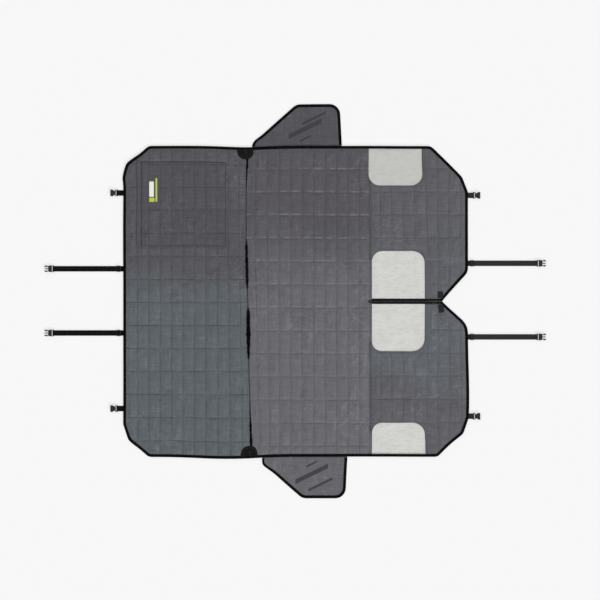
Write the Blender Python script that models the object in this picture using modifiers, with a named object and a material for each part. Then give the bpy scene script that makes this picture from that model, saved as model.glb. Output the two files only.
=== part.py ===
"""Dog car hammock, laid out flat on the ground with its upper side towards +Z.

+X runs from the back panel, which hangs on the rear headrests, to the front panel, which
hangs on the front headrests. +Y is the left-hand side. The origin is the middle of the
footprint, on the ground. All sizes are in metres.
"""
import math

import bmesh
import bpy
from mathutils import Matrix, Vector

# Cut sizes of the cloth panels, to the outer face of their edge binding
PANEL_WIDTH = 1.420
BACK_DEPTH = 0.568
SEAT_DEPTH = 0.556
FRONT_DEPTH = 0.448

# Cloth layers and the gap that stands between two sewn layers
GAP = 0.0003
WEBBING_THICKNESS = 0.0014
TAPE_THICKNESS = 0.0009
MARGIN_THICKNESS = 0.0024
MESH_THICKNESS = 0.0009
FLAP_THICKNESS = 0.0012
QUILT_RISE = 0.0032

# Edge binding, a tape folded round the raw edges
BINDING_WIDTH = 0.012
BINDING_OVERHANG = 0.0012

# Quilting: rectangular cells, and how far the filling takes to rise at their ends
QUILT_PITCH_X = 0.0522
QUILT_PITCH_Y = 0.1053
QUILT_RISE_LENGTH = 0.020
SEWN_MARGIN = 0.012
UNDERSIDE_RAMP = 0.008
BACK_QUILT_OFFSET = (0.0633, -0.005)
SEAT_QUILT_OFFSET = (0.0403, -0.026)
FRONT_QUILT_OFFSET = (0.0505, -0.026)

# Corners of the back panel, measured from the square corner
BACK_CORNER_LENGTH = 0.115
BACK_CORNER_MIDDLE = (0.023, 0.085)
BACK_CORNER_HEIGHT = 0.147
CORNER_RADIUS = 0.035

# Front panel, whose two halves are cut slightly apart from each other, left then right
FRONT_CORNER_LENGTH = (0.162, 0.142)
FRONT_CORNER_MIDDLE = ((0.027, 0.141), (0.023, 0.104))
FRONT_CORNER_HEIGHT = (0.210, 0.180)
LOBE_CORNER_Y = (0.134, 0.109)
LOBE_RADIUS = (0.047, 0.080)
NOTCH_DEPTH = 0.119

# Mesh windows
WINDOW_LENGTH = 0.253
WINDOW_SETBACK = 0.006
WINDOW_OUTER_DEPTH = (0.181, 0.163)
WINDOW_INNER_REACH = 0.230
WINDOW_RADIUS = 0.055
WINDOW_LAP = 0.008

# Seam between back and seat, with two slots for the seat belts over a backing tape
SEAM_OPENING = 0.006
SLOT_CENTRE_Y = 0.163
SLOT_LENGTH = 0.260
SLOT_TAPER = 0.015
SLOT_SETBACK = 0.006
PATCH_RADIUS = 0.040
PATCH_EDGE_DISTANCE = 0.015
PATCH_SHIFT = -0.008

# Side flaps: start after the seam, left then right, and the corners of their outline
FLAP_START = (0.031, 0.058)
FLAP_LENGTH = 0.398
FLAP_REACH = 0.191
FLAP_REAR_KNEE = (0.0115, 0.034)
FLAP_TOP_START = 0.192
FLAP_TOP_END = 0.389
FLAP_KNEE_RADIUS = 0.027
FLAP_CORNER_RADIUS = 0.047
FLAP_BINDING_START = 0.004

# Pocket on the back panel, with its mouth hem and badge, set in from the panel's edges
POCKET_SIZE = (0.389, 0.385)
POCKET_INSET = (0.082, 0.072)
POCKET_THICKNESS = 0.0015
POCKET_RISE = 0.0025
HEM_WIDTH = 0.021
HEM_THICKNESS = 0.0025
BADGE_SIZE = (0.050, 0.142)
BADGE_INSET = (0.052, 0.136)
BADGE_THICKNESS = 0.001

# Webbing straps
WEBBING_WIDTH = 0.025
STRAP_TAIL = 0.0115
LONG_STRAP_BAR = 0.319
SHORT_STRAP_BAR = 0.027
SHORT_STRAP_FOLD = 0.004
BACK_LONG_Y = (0.149, -0.145)
BACK_SHORT_Y = (0.496, -0.491)
FRONT_LONG_Y = (0.174, -0.163)
FRONT_SHORT_Y = (0.485, -0.526)

# Buckles and strap slides, moulded in plastic
BUCKLE_WIDTH = 0.030
BUCKLE_SLOT_WIDTH = 0.026
PRONG_LENGTH = 0.044
PRONG_PLATE = 0.005
PRONG_BAR = 0.004
PRONG_SLOT_END = 0.0095
COLLAR_START = 0.0105
COLLAR_END = 0.0225
COLLAR_THICKNESS = 0.0085
PRONG_CENTRE_Z = 0.0043
SOCKET_LENGTH = 0.033
SOCKET_FRAME = 0.0055
SOCKET_BAR = 0.0038
SOCKET_SLOT_END = 0.0088
SOCKET_CAVITY_START = 0.0115
SOCKET_CAVITY_WIDTH = 0.0252
SOCKET_CAVITY_HEIGHT = 0.0066
SOCKET_THICKNESS = 0.0105
SOCKET_WAIST = 0.0098
TRIGLIDE_START = 0.013
TRIGLIDE_LENGTH = 0.020
TRIGLIDE_WIDTH = 0.029
TRIGLIDE_THICKNESS = 0.0025
TRIGLIDE_BAR = 0.003
PLASTIC_EDGE = 0.0006

# Zip between the two halves of the front panel
ZIP_WIDTH = 0.0244
ZIP_TAPE_INNER = 0.0035
ZIP_TAPE_LAP = 0.005
ZIP_TOOTH_PITCH = 0.006
ZIP_TOOTH_HEIGHT = 0.003
ZIP_CHAIN_GAP = 0.0015
ZIP_CHAIN_WIDTH = 0.0064
ZIP_START = 0.006
ZIP_END_CLEARANCE = 0.019
ZIP_STOP_LENGTH = 0.006
SLIDER_LENGTH = 0.018
SLIDER_WIDTH = 0.010
SLIDER_PLATE = 0.0014
SLIDER_CLEARANCE = 0.00035
PULL_LENGTH = 0.032
PULL_WIDTH = 0.0066
PULL_WIRE = 0.0014
PULL_TILT = math.radians(1.8)
PULL_LIFT = 0.0002
PULL_EYE = 0.006
PULL_HOLE = 0.011
BRIDGE_SPAN = 0.009
BRIDGE_WIRE = 0.0011
BRIDGE_WIDTH = 0.0024

# Finger tabs at the front end of the zip, left then right
TAB_WIDTH = 0.024
TAB_LENGTH = (0.030, 0.038)
TAB_TURN = (0.0, math.radians(-9.0))
TAB_EDGE_Y = 0.0135
TAB_SETBACK = 0.006

# Heights that follow from the layers
HALF_WIDTH = PANEL_WIDTH / 2
SEAM_X = (BACK_DEPTH - SEAT_DEPTH - FRONT_DEPTH) / 2
BACK_X = SEAM_X - BACK_DEPTH
FRONT_SEAM_X = SEAM_X + SEAT_DEPTH
FRONT_X = FRONT_SEAM_X + FRONT_DEPTH
NOTCH_X = FRONT_X - NOTCH_DEPTH
BACK_QUILT_START = (BACK_X + BACK_QUILT_OFFSET[0], BACK_QUILT_OFFSET[1])
SEAT_QUILT_START = (SEAM_X + SEAT_QUILT_OFFSET[0], SEAT_QUILT_OFFSET[1])
FRONT_QUILT_START = (FRONT_SEAM_X + FRONT_QUILT_OFFSET[0], FRONT_QUILT_OFFSET[1])
LOWER_TAPE_Z = WEBBING_THICKNESS + GAP
MARGIN_Z = LOWER_TAPE_Z + TAPE_THICKNESS + GAP
MARGIN_TOP_Z = MARGIN_Z + MARGIN_THICKNESS
UPPER_TAPE_Z = MARGIN_TOP_Z + GAP
BINDING_TOP_Z = UPPER_TAPE_Z + TAPE_THICKNESS
RECESS_Z = MARGIN_TOP_Z - 0.0001
CLOTH_TOP_Z = MARGIN_TOP_Z + QUILT_RISE

ZIP_REAR_X = FRONT_SEAM_X - WINDOW_SETBACK + GAP
ZIP_STOP_X = ZIP_REAR_X + ZIP_START
ZIP_CHAIN_START = ZIP_STOP_X + ZIP_STOP_LENGTH + 2 * GAP
ZIP_CHAIN_END = NOTCH_X - ZIP_END_CLEARANCE
SLIDER_X = ZIP_CHAIN_END - SLIDER_LENGTH / 2

# Fineness of arcs, and the angle past which a moulded edge is softened
ARC_STEP = math.radians(16)
PROFILE_ARC_STEP = math.radians(31)
EDGE_ANGLE = math.radians(50)
LEFT, RIGHT = 0, 1
SIDE_NAMES = ("left", "right")
SIDE_SIGNS = (1, -1)


def clear_scene():
    """Start from an empty scene."""
    for item in list(bpy.data.objects):
        bpy.data.objects.remove(item, do_unlink=True)


def new_collection(name):
    """Add a collection to the scene."""
    collection = bpy.data.collections.new(name)
    bpy.context.scene.collection.children.link(collection)
    return collection


clear_scene()
MODEL = new_collection("dog_car_hammock")
CUTTERS = new_collection("cutters")


def finish(name, colour, roughness, metallic=0.0):
    """A plain material."""
    material = bpy.data.materials.new(name)
    material.use_nodes = True
    shader = material.node_tree.nodes["Principled BSDF"]
    shader.inputs["Base Color"].default_value = (*colour, 1.0)
    shader.inputs["Roughness"].default_value = roughness
    shader.inputs["Metallic"].default_value = metallic
    material.diffuse_color = (*colour, 1.0)
    return material


QUILTED_CLOTH = finish("quilted_cloth", (0.105, 0.108, 0.118), 0.75)
FLAP_CLOTH = finish("flap_cloth", (0.110, 0.112, 0.122), 0.75)
BLACK_TAPE = finish("black_tape", (0.008, 0.008, 0.009), 0.8)
BLACK_WEBBING = finish("black_webbing", (0.012, 0.012, 0.013), 0.7)
PALE_MESH = finish("pale_mesh", (0.62, 0.62, 0.60), 0.6)
BLACK_PLASTIC = finish("black_plastic", (0.010, 0.010, 0.011), 0.35)
DARK_ZINC = finish("dark_zinc", (0.05, 0.05, 0.055), 0.35, 0.9)


def mesh_object(name, bm, material, collection=None):
    """Turn a bmesh into an object with its faces pointing outwards."""
    bmesh.ops.recalc_face_normals(bm, faces=bm.faces)
    mesh = bpy.data.meshes.new(name)
    bm.to_mesh(mesh)
    bm.free()
    mesh.materials.append(material)
    item = bpy.data.objects.new(name, mesh)
    (collection or MODEL).objects.link(item)
    return item


def cutter_object(name, *solids):
    """Join closed solids that don't meet into one hidden cutter."""
    bm = bmesh.new()
    for solid in solids:
        mesh = bpy.data.meshes.new(name)
        bmesh.ops.recalc_face_normals(solid, faces=solid.faces)
        solid.to_mesh(mesh)
        solid.free()
        bm.from_mesh(mesh)
        bpy.data.meshes.remove(mesh)
    cutter = mesh_object(name, bm, BLACK_PLASTIC, CUTTERS)
    cutter.hide_render = True
    cutter.display_type = "WIRE"
    return cutter


def cut(item, cutter):
    """Take a cutter's shape out of an object."""
    modifier = item.modifiers.new(cutter.name, "BOOLEAN")
    modifier.operation = "DIFFERENCE"
    modifier.solver = "EXACT"
    modifier.object = cutter


def rounded(corners, arc_step=ARC_STEP):
    """Turn (x, y, radius) corners into outline points, with an arc at each radius."""
    outline = []
    for index, (x, y, radius) in enumerate(corners):
        corner = Vector((x, y))
        if radius == 0:
            outline.append(corner)
            continue
        before = (Vector(corners[index - 1][:2]) - corner).normalized()
        after = (Vector(corners[(index + 1) % len(corners)][:2]) - corner).normalized()
        half_angle = before.angle(after) / 2
        centre = corner + (before + after).normalized() * radius / math.sin(half_angle)
        reach = radius / math.tan(half_angle)
        first = corner + before * reach - centre
        last = corner + after * reach - centre
        turn = math.atan2(first.cross(last), first.dot(last))
        steps = max(2, math.ceil(abs(turn) / arc_step))
        for step in range(steps + 1):
            outline.append(centre + Matrix.Rotation(turn * step / steps, 2) @ first)
    return outline


def prism(outline, bottom, top):
    """Extrude a flat outline between two heights."""
    bm = bmesh.new()
    face = bm.faces.new([bm.verts.new((x, y, bottom)) for x, y in outline])
    grown = bmesh.ops.extrude_face_region(bm, geom=[face])["geom"]
    raised = [part for part in grown if isinstance(part, bmesh.types.BMVert)]
    bmesh.ops.translate(bm, verts=raised, vec=(0, 0, top - bottom))
    return bm


def box(low, high):
    """A box between its lowest and highest corners."""
    bm = bmesh.new()
    bmesh.ops.create_cube(bm, size=1.0)
    size = Vector(high) - Vector(low)
    bmesh.ops.scale(bm, vec=size, verts=bm.verts)
    bmesh.ops.translate(bm, vec=Vector(low) + size / 2, verts=bm.verts)
    return bm


def profile_prism(profile, width):
    """Extrude a side view of (along, height) points across a width centred on Y = 0."""
    bm = prism(profile, -width / 2, width / 2)
    bmesh.ops.rotate(bm, verts=bm.verts, matrix=Matrix.Rotation(math.pi / 2, 3, "X"))
    return bm


def mirror_side(bm, side):
    """Carry what is made for the left side over to the right."""
    bmesh.ops.scale(bm, vec=(1, SIDE_SIGNS[side], 1), verts=bm.verts)
    return bm


def left_of(start, end):
    """Unit vector to the left of a line."""
    along = (end - start).normalized()
    return Vector((-along.y, along.x))


def sweep(section, path, start_cut=None, end_cut=None):
    """Carry a section of (inset, height) points along a flat path with mitred corners.

    The inset is measured to the left of the path. An end may be cut along a given direction.
    """
    rings = []
    for index, point in enumerate(path):
        sides = []
        if index > 0:
            sides.append(left_of(path[index - 1], point))
        if index < len(path) - 1:
            sides.append(left_of(point, path[index + 1]))
        across = sum(sides, Vector((0, 0)))
        if index == 0 and start_cut:
            across = Vector(start_cut)
        if index == len(path) - 1 and end_cut:
            across = Vector(end_cut)
        across = across / across.dot(sides[0])
        rings.append([(*(point + across * inset), height) for inset, height in section])
    return loft(rings)


def loft(rings):
    """Join sections of equally many points into a closed solid."""
    bm = bmesh.new()
    loops = [[bm.verts.new(point) for point in ring] for ring in rings]
    count = len(loops[0])
    for lower, upper in zip(loops, loops[1:]):
        for index in range(count):
            after = (index + 1) % count
            bm.faces.new((lower[index], lower[after], upper[after], upper[index]))
    bm.faces.new(reversed(loops[0]))
    bm.faces.new(loops[-1])
    return bm


def distance_to_outline(point, outline):
    """Shortest distance from a flat point to a closed outline."""
    shortest = math.inf
    for index, start in enumerate(outline):
        run = outline[(index + 1) % len(outline)] - start
        share = (point - start).dot(run) / run.length_squared
        nearest = start + run * min(1.0, max(0.0, share))
        shortest = min(shortest, (point - nearest).length)
    return shortest


def positions(start, pitch, low, high):
    """Positions of evenly spaced lines strictly between two limits."""
    first = math.ceil((low - start) / pitch)
    last = math.floor((high - start) / pitch)
    return [start + pitch * number for number in range(first, last + 1)]


def quilt_planes(outline, zones, stitched):
    """Cutting planes along the quilting lines and the crests between them."""
    low_y = min(point.y for point in outline) + SEWN_MARGIN
    high_y = max(point.y for point in outline) - SEWN_MARGIN
    planes = []
    for low_x, high_x, start in zones:
        for x in positions(start[0], QUILT_PITCH_X / 2, low_x + SEWN_MARGIN, high_x - SEWN_MARGIN):
            planes.append(((x, 0, 0), (1, 0, 0)))
    for seam_x in stitched:
        planes.append(((seam_x - SEWN_MARGIN, 0, 0), (1, 0, 0)))
        planes.append(((seam_x + SEWN_MARGIN, 0, 0), (1, 0, 0)))
    start_y = zones[0][2][1]
    for shift in (-QUILT_RISE_LENGTH, 0, QUILT_RISE_LENGTH):
        for y in positions(start_y + shift, QUILT_PITCH_Y, low_y, high_y):
            planes.append(((0, y, 0), (0, 1, 0)))
    return planes


def quilt_height(point, outline, zones, stitched):
    """How far the filling lifts the cloth at a point, from 0 on a seam to 1 on a crest."""
    start = next((zone[2] for zone in zones if point.x < zone[1]), zones[-1][2])
    phase = ((point.x - start[0]) / QUILT_PITCH_X) % 1.0
    across = 1 - abs(2 * phase - 1)
    shift = ((point.y - start[1]) / QUILT_PITCH_Y) % 1.0
    from_line = min(shift, 1 - shift) * QUILT_PITCH_Y
    edge = distance_to_outline(point, outline)
    edge = min([edge] + [abs(point.x - seam_x) for seam_x in stitched]) - SEWN_MARGIN
    ends = min(1.0, from_line / QUILT_RISE_LENGTH)
    return across * ends * max(0.0, min(1.0, edge / QUILT_RISE_LENGTH))


def quilted_pad(outline, zones, bottom, top, rise, under, stitched=()):
    """A quilted solid with a flat sewn margin all round.

    The top face is inset by the margin, cut along the quilting and lifted between the lines.
    The bottom face is inset and let down to the ground.
    """
    bm = prism(outline, bottom, top)
    upper = max(bm.faces, key=lambda face: face.calc_center_median().z)
    lower = min(bm.faces, key=lambda face: face.calc_center_median().z)
    bmesh.ops.inset_region(bm, faces=[upper], thickness=SEWN_MARGIN, use_even_offset=True)
    region = [upper, *upper.edges, *upper.verts]
    for place, direction in quilt_planes(outline, zones, stitched):
        region = bmesh.ops.bisect_plane(
            bm, geom=region, dist=1e-6, plane_co=place, plane_no=direction)["geom"]
    for part in region:
        if isinstance(part, bmesh.types.BMVert):
            part.co.z = top + rise * quilt_height(part.co.xy, outline, zones, stitched)
    if under < bottom:
        bmesh.ops.inset_region(bm, faces=[lower], thickness=SEWN_MARGIN, use_even_offset=True)
        bmesh.ops.inset_region(bm, faces=[lower], thickness=UNDERSIDE_RAMP, use_even_offset=True)
        for vert in lower.verts:
            vert.co.z = under
    bmesh.ops.triangulate(bm, faces=bm.faces)
    return bm


def belt_slots(edge_x, away):
    """Corners of a seam edge with two shallow slots, from the right side to the left.

    The slots lie on the side of the edge that away points to, 1 for +X and -1 for -X.
    """
    corners = []
    for centre in (-SLOT_CENTRE_Y, SLOT_CENTRE_Y):
        start = centre - SLOT_LENGTH / 2
        end = centre + SLOT_LENGTH / 2
        deep_x = edge_x + away * SLOT_SETBACK
        corners.append((edge_x, start, 0))
        corners.append((deep_x, start + SLOT_TAPER, 0))
        corners.append((deep_x, end - SLOT_TAPER, 0))
        corners.append((edge_x, end, 0))
    return corners


def back_corners(side):
    """Corners that take the outline round one rear corner of the back panel."""
    sign = SIDE_SIGNS[side]
    return [
        (BACK_X + BACK_CORNER_LENGTH, sign * HALF_WIDTH, CORNER_RADIUS),
        (BACK_X + BACK_CORNER_MIDDLE[0], sign * (HALF_WIDTH - BACK_CORNER_MIDDLE[1]), CORNER_RADIUS),
        (BACK_X, sign * (HALF_WIDTH - BACK_CORNER_HEIGHT), CORNER_RADIUS),
    ]


def front_corners(side):
    """Corners that take the outline round one lobe of the front panel, outer edge first."""
    middle = FRONT_CORNER_MIDDLE[side]
    return [
        (FRONT_X - FRONT_CORNER_LENGTH[side], HALF_WIDTH, CORNER_RADIUS),
        (FRONT_X - middle[0], HALF_WIDTH - middle[1], CORNER_RADIUS),
        (FRONT_X, HALF_WIDTH - FRONT_CORNER_HEIGHT[side], CORNER_RADIUS),
        (FRONT_X, LOBE_CORNER_Y[side], LOBE_RADIUS[side]),
    ]


def notch_edge_x(side, y, inset=0.0):
    """X of one edge of the notch at a distance from the middle, moved into the cloth."""
    run = Vector((FRONT_X - NOTCH_X, LOBE_CORNER_Y[side]))
    return NOTCH_X + run.x / run.y * y - inset * run.length / run.y


def window_edges(side, grow):
    """X and Y limits of one side's two window openings, grown by a lap."""
    rear = FRONT_SEAM_X - WINDOW_SETBACK - grow
    front = FRONT_SEAM_X - WINDOW_SETBACK + WINDOW_LENGTH + grow
    outer = HALF_WIDTH - WINDOW_OUTER_DEPTH[side] - grow
    inner = WINDOW_INNER_REACH + grow
    return rear, front, outer, inner


def cloth_half(side):
    """One half of the seat and front outline, from the outer seam end to the zip's rear end."""
    rear, front, outer, inner = window_edges(side, 0.0)
    zip_edge = ZIP_WIDTH / 2 + GAP
    return [
        (rear, HALF_WIDTH, 0),
        (rear, outer, WINDOW_RADIUS),
        (front, outer, WINDOW_RADIUS),
        (front, HALF_WIDTH, 0),
        *front_corners(side),
        (notch_edge_x(side, zip_edge), zip_edge, 0),
        (front, zip_edge, 0),
        (front, inner, WINDOW_RADIUS),
        (rear, inner, WINDOW_RADIUS),
    ]


def back_panel():
    """Quilted panel against the rear backrest."""
    edge_x = SEAM_X - SEAM_OPENING / 2
    outline = rounded([
        (edge_x, HALF_WIDTH, 0),
        *back_corners(LEFT),
        *reversed(back_corners(RIGHT)),
        (edge_x, -HALF_WIDTH, 0),
        *belt_slots(edge_x, -1),
    ])
    zones = [(BACK_X, SEAM_X, BACK_QUILT_START)]
    bm = quilted_pad(outline, zones, MARGIN_Z, MARGIN_TOP_Z, QUILT_RISE, 0.0)
    return mesh_object("back_panel", bm, QUILTED_CLOTH)


def seat_and_front_cloth():
    """Seat and front panels in one, before they are parted at the front seam."""
    edge_x = SEAM_X + SEAM_OPENING / 2
    outline = rounded([
        (edge_x, -HALF_WIDTH, 0),
        *((x, -y, radius) for x, y, radius in cloth_half(RIGHT)),
        *reversed(cloth_half(LEFT)),
        (edge_x, HALF_WIDTH, 0),
        *reversed(belt_slots(edge_x, 1)),
    ])
    zones = [
        (SEAM_X, FRONT_SEAM_X, SEAT_QUILT_START),
        (FRONT_SEAM_X, FRONT_X, FRONT_QUILT_START),
    ]
    return quilted_pad(
        outline, zones, MARGIN_Z, MARGIN_TOP_Z, QUILT_RISE, 0.0, stitched=(FRONT_SEAM_X,))


def parted_at_front_seam(bm, keep_front):
    """Keep one side of the front seam and close the cut."""
    bmesh.ops.bisect_plane(
        bm,
        geom=[*bm.verts, *bm.edges, *bm.faces],
        dist=1e-6,
        plane_co=(FRONT_SEAM_X + (GAP / 2 if keep_front else -GAP / 2), 0, 0),
        plane_no=(1, 0, 0),
        clear_inner=keep_front,
        clear_outer=not keep_front,
    )
    open_edges = [edge for edge in bm.edges if edge.is_boundary]
    bmesh.ops.holes_fill(bm, edges=open_edges, sides=0)
    return bm


def seat_and_front_panels():
    """Seat panel, and the two halves of the front panel on either side of the zip."""
    seat = mesh_object(
        "seat_panel", parted_at_front_seam(seat_and_front_cloth(), False), QUILTED_CLOTH)
    fronts = []
    for side, name in enumerate(SIDE_NAMES):
        bm = parted_at_front_seam(seat_and_front_cloth(), True)
        other_half = [vert for vert in bm.verts if vert.co.y * SIDE_SIGNS[side] < 0]
        bmesh.ops.delete(bm, geom=other_half, context="VERTS")
        fronts.append(mesh_object("front_panel_" + name, bm, QUILTED_CLOTH))
    return seat, fronts


BACK = back_panel()
SEAT, FRONTS = seat_and_front_panels()


def window_outline(side, which):
    """Outline of a mesh window, lapped under the cloth, up to the binding or under the zip tape."""
    rear, front, outer, inner = window_edges(side, WINDOW_LAP)
    if which == "outer":
        closed, opened = outer, HALF_WIDTH - BINDING_WIDTH - GAP
    else:
        closed, opened = inner, ZIP_WIDTH / 2 - ZIP_TAPE_LAP
    return rounded([
        (rear, opened, 0),
        (rear, closed, WINDOW_RADIUS),
        (front, closed, WINDOW_RADIUS),
        (front, opened, 0),
    ])


def mesh_windows():
    """Four air mesh windows, sewn under the edges of their openings."""
    for side, name in enumerate(SIDE_NAMES):
        for which in ("outer", "inner"):
            outline = window_outline(side, which)
            window = prism(outline, LOWER_TAPE_Z, LOWER_TAPE_Z + MESH_THICKNESS)
            mesh_object(f"{which}_window_{name}", mirror_side(window, side), PALE_MESH)


def u_section(bottom, top, width):
    """Section of a binding tape folded round an edge, as (inset, height) points."""
    return [
        (-BINDING_OVERHANG, bottom),
        (width, bottom),
        (width, bottom + TAPE_THICKNESS),
        (-GAP, bottom + TAPE_THICKNESS),
        (-GAP, top - TAPE_THICKNESS),
        (width, top - TAPE_THICKNESS),
        (width, top),
        (-BINDING_OVERHANG, top),
    ]


def edge_bindings():
    """Black tape folded round the outer edges of the back panel and of both front halves."""
    section = u_section(LOWER_TAPE_Z, BINDING_TOP_Z, BINDING_WIDTH - GAP)
    path = rounded([
        (SEAM_X - GAP, HALF_WIDTH, 0),
        *back_corners(LEFT),
        *reversed(back_corners(RIGHT)),
        (SEAM_X - GAP, -HALF_WIDTH, 0),
    ])
    mesh_object("back_binding", sweep(section, path), BLACK_TAPE)
    for side, name in enumerate(SIDE_NAMES):
        path = rounded([
            (notch_edge_x(side, GAP), GAP, 0),
            *reversed(front_corners(side)),
            (SEAM_X + GAP, HALF_WIDTH, 0),
        ])
        bm = mirror_side(sweep(section, path, start_cut=(-1, 0)), side)
        mesh_object("front_binding_" + name, bm, BLACK_TAPE)


def flap_corners(side, base):
    """Corners of a side flap's free edge, from a base distance beyond the panel's edge."""
    start = SEAM_X + FLAP_START[side]
    knee_x, knee_y = FLAP_REAR_KNEE
    front_lean = (FLAP_LENGTH - FLAP_TOP_END) / FLAP_REACH
    return [
        (start + FLAP_LENGTH - front_lean * base, HALF_WIDTH + base, 0),
        (start + FLAP_TOP_END, HALF_WIDTH + FLAP_REACH, FLAP_CORNER_RADIUS),
        (start + FLAP_TOP_START, HALF_WIDTH + FLAP_REACH, FLAP_CORNER_RADIUS),
        (start + knee_x, HALF_WIDTH + knee_y, FLAP_KNEE_RADIUS),
        (start + knee_x * base / knee_y, HALF_WIDTH + base, 0),
    ]


def side_flaps():
    """Plain cloth flaps for the door sides, with their own binding, under the panel's edge."""
    tail_drop = FLAP_THICKNESS - (LOWER_TAPE_Z - GAP) + TAPE_THICKNESS + GAP
    flap_z = TAPE_THICKNESS + GAP
    for side, name in enumerate(SIDE_NAMES):
        outline = rounded(flap_corners(side, -STRAP_TAIL))
        bm = prism(outline, flap_z, flap_z + FLAP_THICKNESS)
        for reach in (GAP, FLAP_BINDING_START - GAP):
            bmesh.ops.bisect_plane(
                bm, geom=[*bm.verts, *bm.edges, *bm.faces], dist=1e-6,
                plane_co=(0, HALF_WIDTH + BINDING_OVERHANG + reach, 0), plane_no=(0, 1, 0))
        for vert in bm.verts:
            if vert.co.y < HALF_WIDTH + BINDING_OVERHANG + 2 * GAP:
                vert.co.z -= tail_drop
        mesh_object("side_flap_" + name, mirror_side(bm, side), FLAP_CLOTH)
        path = rounded(flap_corners(side, FLAP_BINDING_START + BINDING_OVERHANG))
        top = 2 * TAPE_THICKNESS + 2 * GAP + FLAP_THICKNESS
        section = u_section(0.0, top, BINDING_WIDTH)
        bm = sweep(section, path, start_cut=(-1, 0), end_cut=(1, 0))
        mesh_object("flap_binding_" + name, mirror_side(bm, side), BLACK_TAPE)


def seam_and_patches():
    """Backing tape that closes the seam and its belt slots, and a half-round patch at each end."""
    half = SEAM_OPENING / 2 + SEWN_MARGIN - GAP
    end = HALF_WIDTH - BINDING_WIDTH - GAP
    tape = box(
        (SEAM_X - half, -end, LOWER_TAPE_Z), (SEAM_X + half, end, LOWER_TAPE_Z + TAPE_THICKNESS))
    mesh_object("seam_tape", tape, BLACK_TAPE)
    for side, name in enumerate(SIDE_NAMES):
        node = "corner_patch_" + name
        patch = half_disc(PATCH_RADIUS, RECESS_Z + GAP, BINDING_TOP_Z)
        mesh_object(node, mirror_side(patch, side), BLACK_TAPE)
        recess = half_disc(PATCH_RADIUS + GAP, RECESS_Z, 2 * CLOTH_TOP_Z)
        cutter = cutter_object(node + "_recess", mirror_side(recess, side))
        cut(BACK, cutter)
        cut(SEAT, cutter)


def half_disc(radius, bottom, top):
    """Half-round patch on the seam, its flat side along the panel's edge."""
    edge_y = HALF_WIDTH - PATCH_EDGE_DISTANCE + (radius - PATCH_RADIUS)
    steps = round(math.pi / ARC_STEP)
    outline = []
    for step in range(steps + 1):
        angle = math.pi * (1 + step / steps)
        x = SEAM_X + PATCH_SHIFT + radius * math.cos(angle)
        outline.append((x, edge_y + radius * math.sin(angle)))
    return prism(outline, bottom, top)


def pocket():
    """Quilted pocket with a hemmed mouth towards the top of the backrest, and a bare badge."""
    low_x = BACK_X + POCKET_INSET[0]
    high_y = HALF_WIDTH - POCKET_INSET[1]
    high_x, low_y = low_x + POCKET_SIZE[0], high_y - POCKET_SIZE[1]
    bottom = RECESS_Z + GAP
    top = bottom + POCKET_THICKNESS
    outline = rounded([(low_x, low_y, 0), (high_x, low_y, 0), (high_x, high_y, 0), (low_x, high_y, 0)])
    zones = [(low_x, high_x, BACK_QUILT_START)]
    pad = quilted_pad(outline, zones, bottom, top, POCKET_RISE, bottom)
    panel = mesh_object("pocket_panel", pad, QUILTED_CLOTH)
    hem_high = low_x - GAP
    hem = box((hem_high - HEM_WIDTH, low_y, bottom), (hem_high, high_y, bottom + HEM_THICKNESS))
    mesh_object("pocket_hem", hem, QUILTED_CLOTH)
    recess = box(
        (hem_high - HEM_WIDTH - GAP, low_y - GAP, RECESS_Z),
        (high_x + GAP, high_y + GAP, 2 * CLOTH_TOP_Z))
    cut(BACK, cutter_object("pocket_recess", recess))
    half = Vector(BADGE_SIZE) / 2
    centre = Vector((low_x + BADGE_INSET[0], high_y - BADGE_INSET[1]))
    floor = top - GAP
    corners = [(-1, -1), (1, -1), (1, 1), (-1, 1)]
    plate = rounded([(centre.x + half.x * u, centre.y + half.y * v, HEM_THICKNESS) for u, v in corners])
    badge = prism(plate, floor + GAP, floor + GAP + BADGE_THICKNESS)
    mesh_object("pocket_badge", badge, BLACK_TAPE)
    grown = half + Vector((GAP, GAP))
    recess = box((*(centre - grown), floor), (*(centre + grown), 2 * CLOTH_TOP_Z))
    cut(panel, cutter_object("badge_recess", recess))


def add_modifier(item, kind, **settings):
    """Add a modifier with its settings."""
    modifier = item.modifiers.new(kind.lower(), kind)
    for name, value in settings.items():
        setattr(modifier, name, value)


def baked(item, cutters=()):
    """Mesh of an object with its modifiers applied. The object and its cutters are removed."""
    bpy.context.view_layer.update()
    evaluated = item.evaluated_get(bpy.context.evaluated_depsgraph_get())
    mesh = bpy.data.meshes.new_from_object(evaluated)
    for used in (item, *cutters):
        bpy.data.objects.remove(used, do_unlink=True)
    return mesh


def place_on_strap(name, mesh, edge_x, y, along=0.0):
    """Put a copy of a strap piece beyond a panel's edge, pointing away from the panel."""
    copy = bpy.data.objects.new(name, mesh)
    direction = 1 if edge_x > 0 else -1
    copy.location = (edge_x + direction * along, y, 0)
    copy.rotation_euler = (0, 0, 0 if direction > 0 else math.pi)
    MODEL.objects.link(copy)
    return copy


def both_sides(half):
    """Close a plan outline from the corners of its +Y half, given from rear to front."""
    return [(x, -y, radius) for x, y, radius in half] + list(reversed(half))


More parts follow.
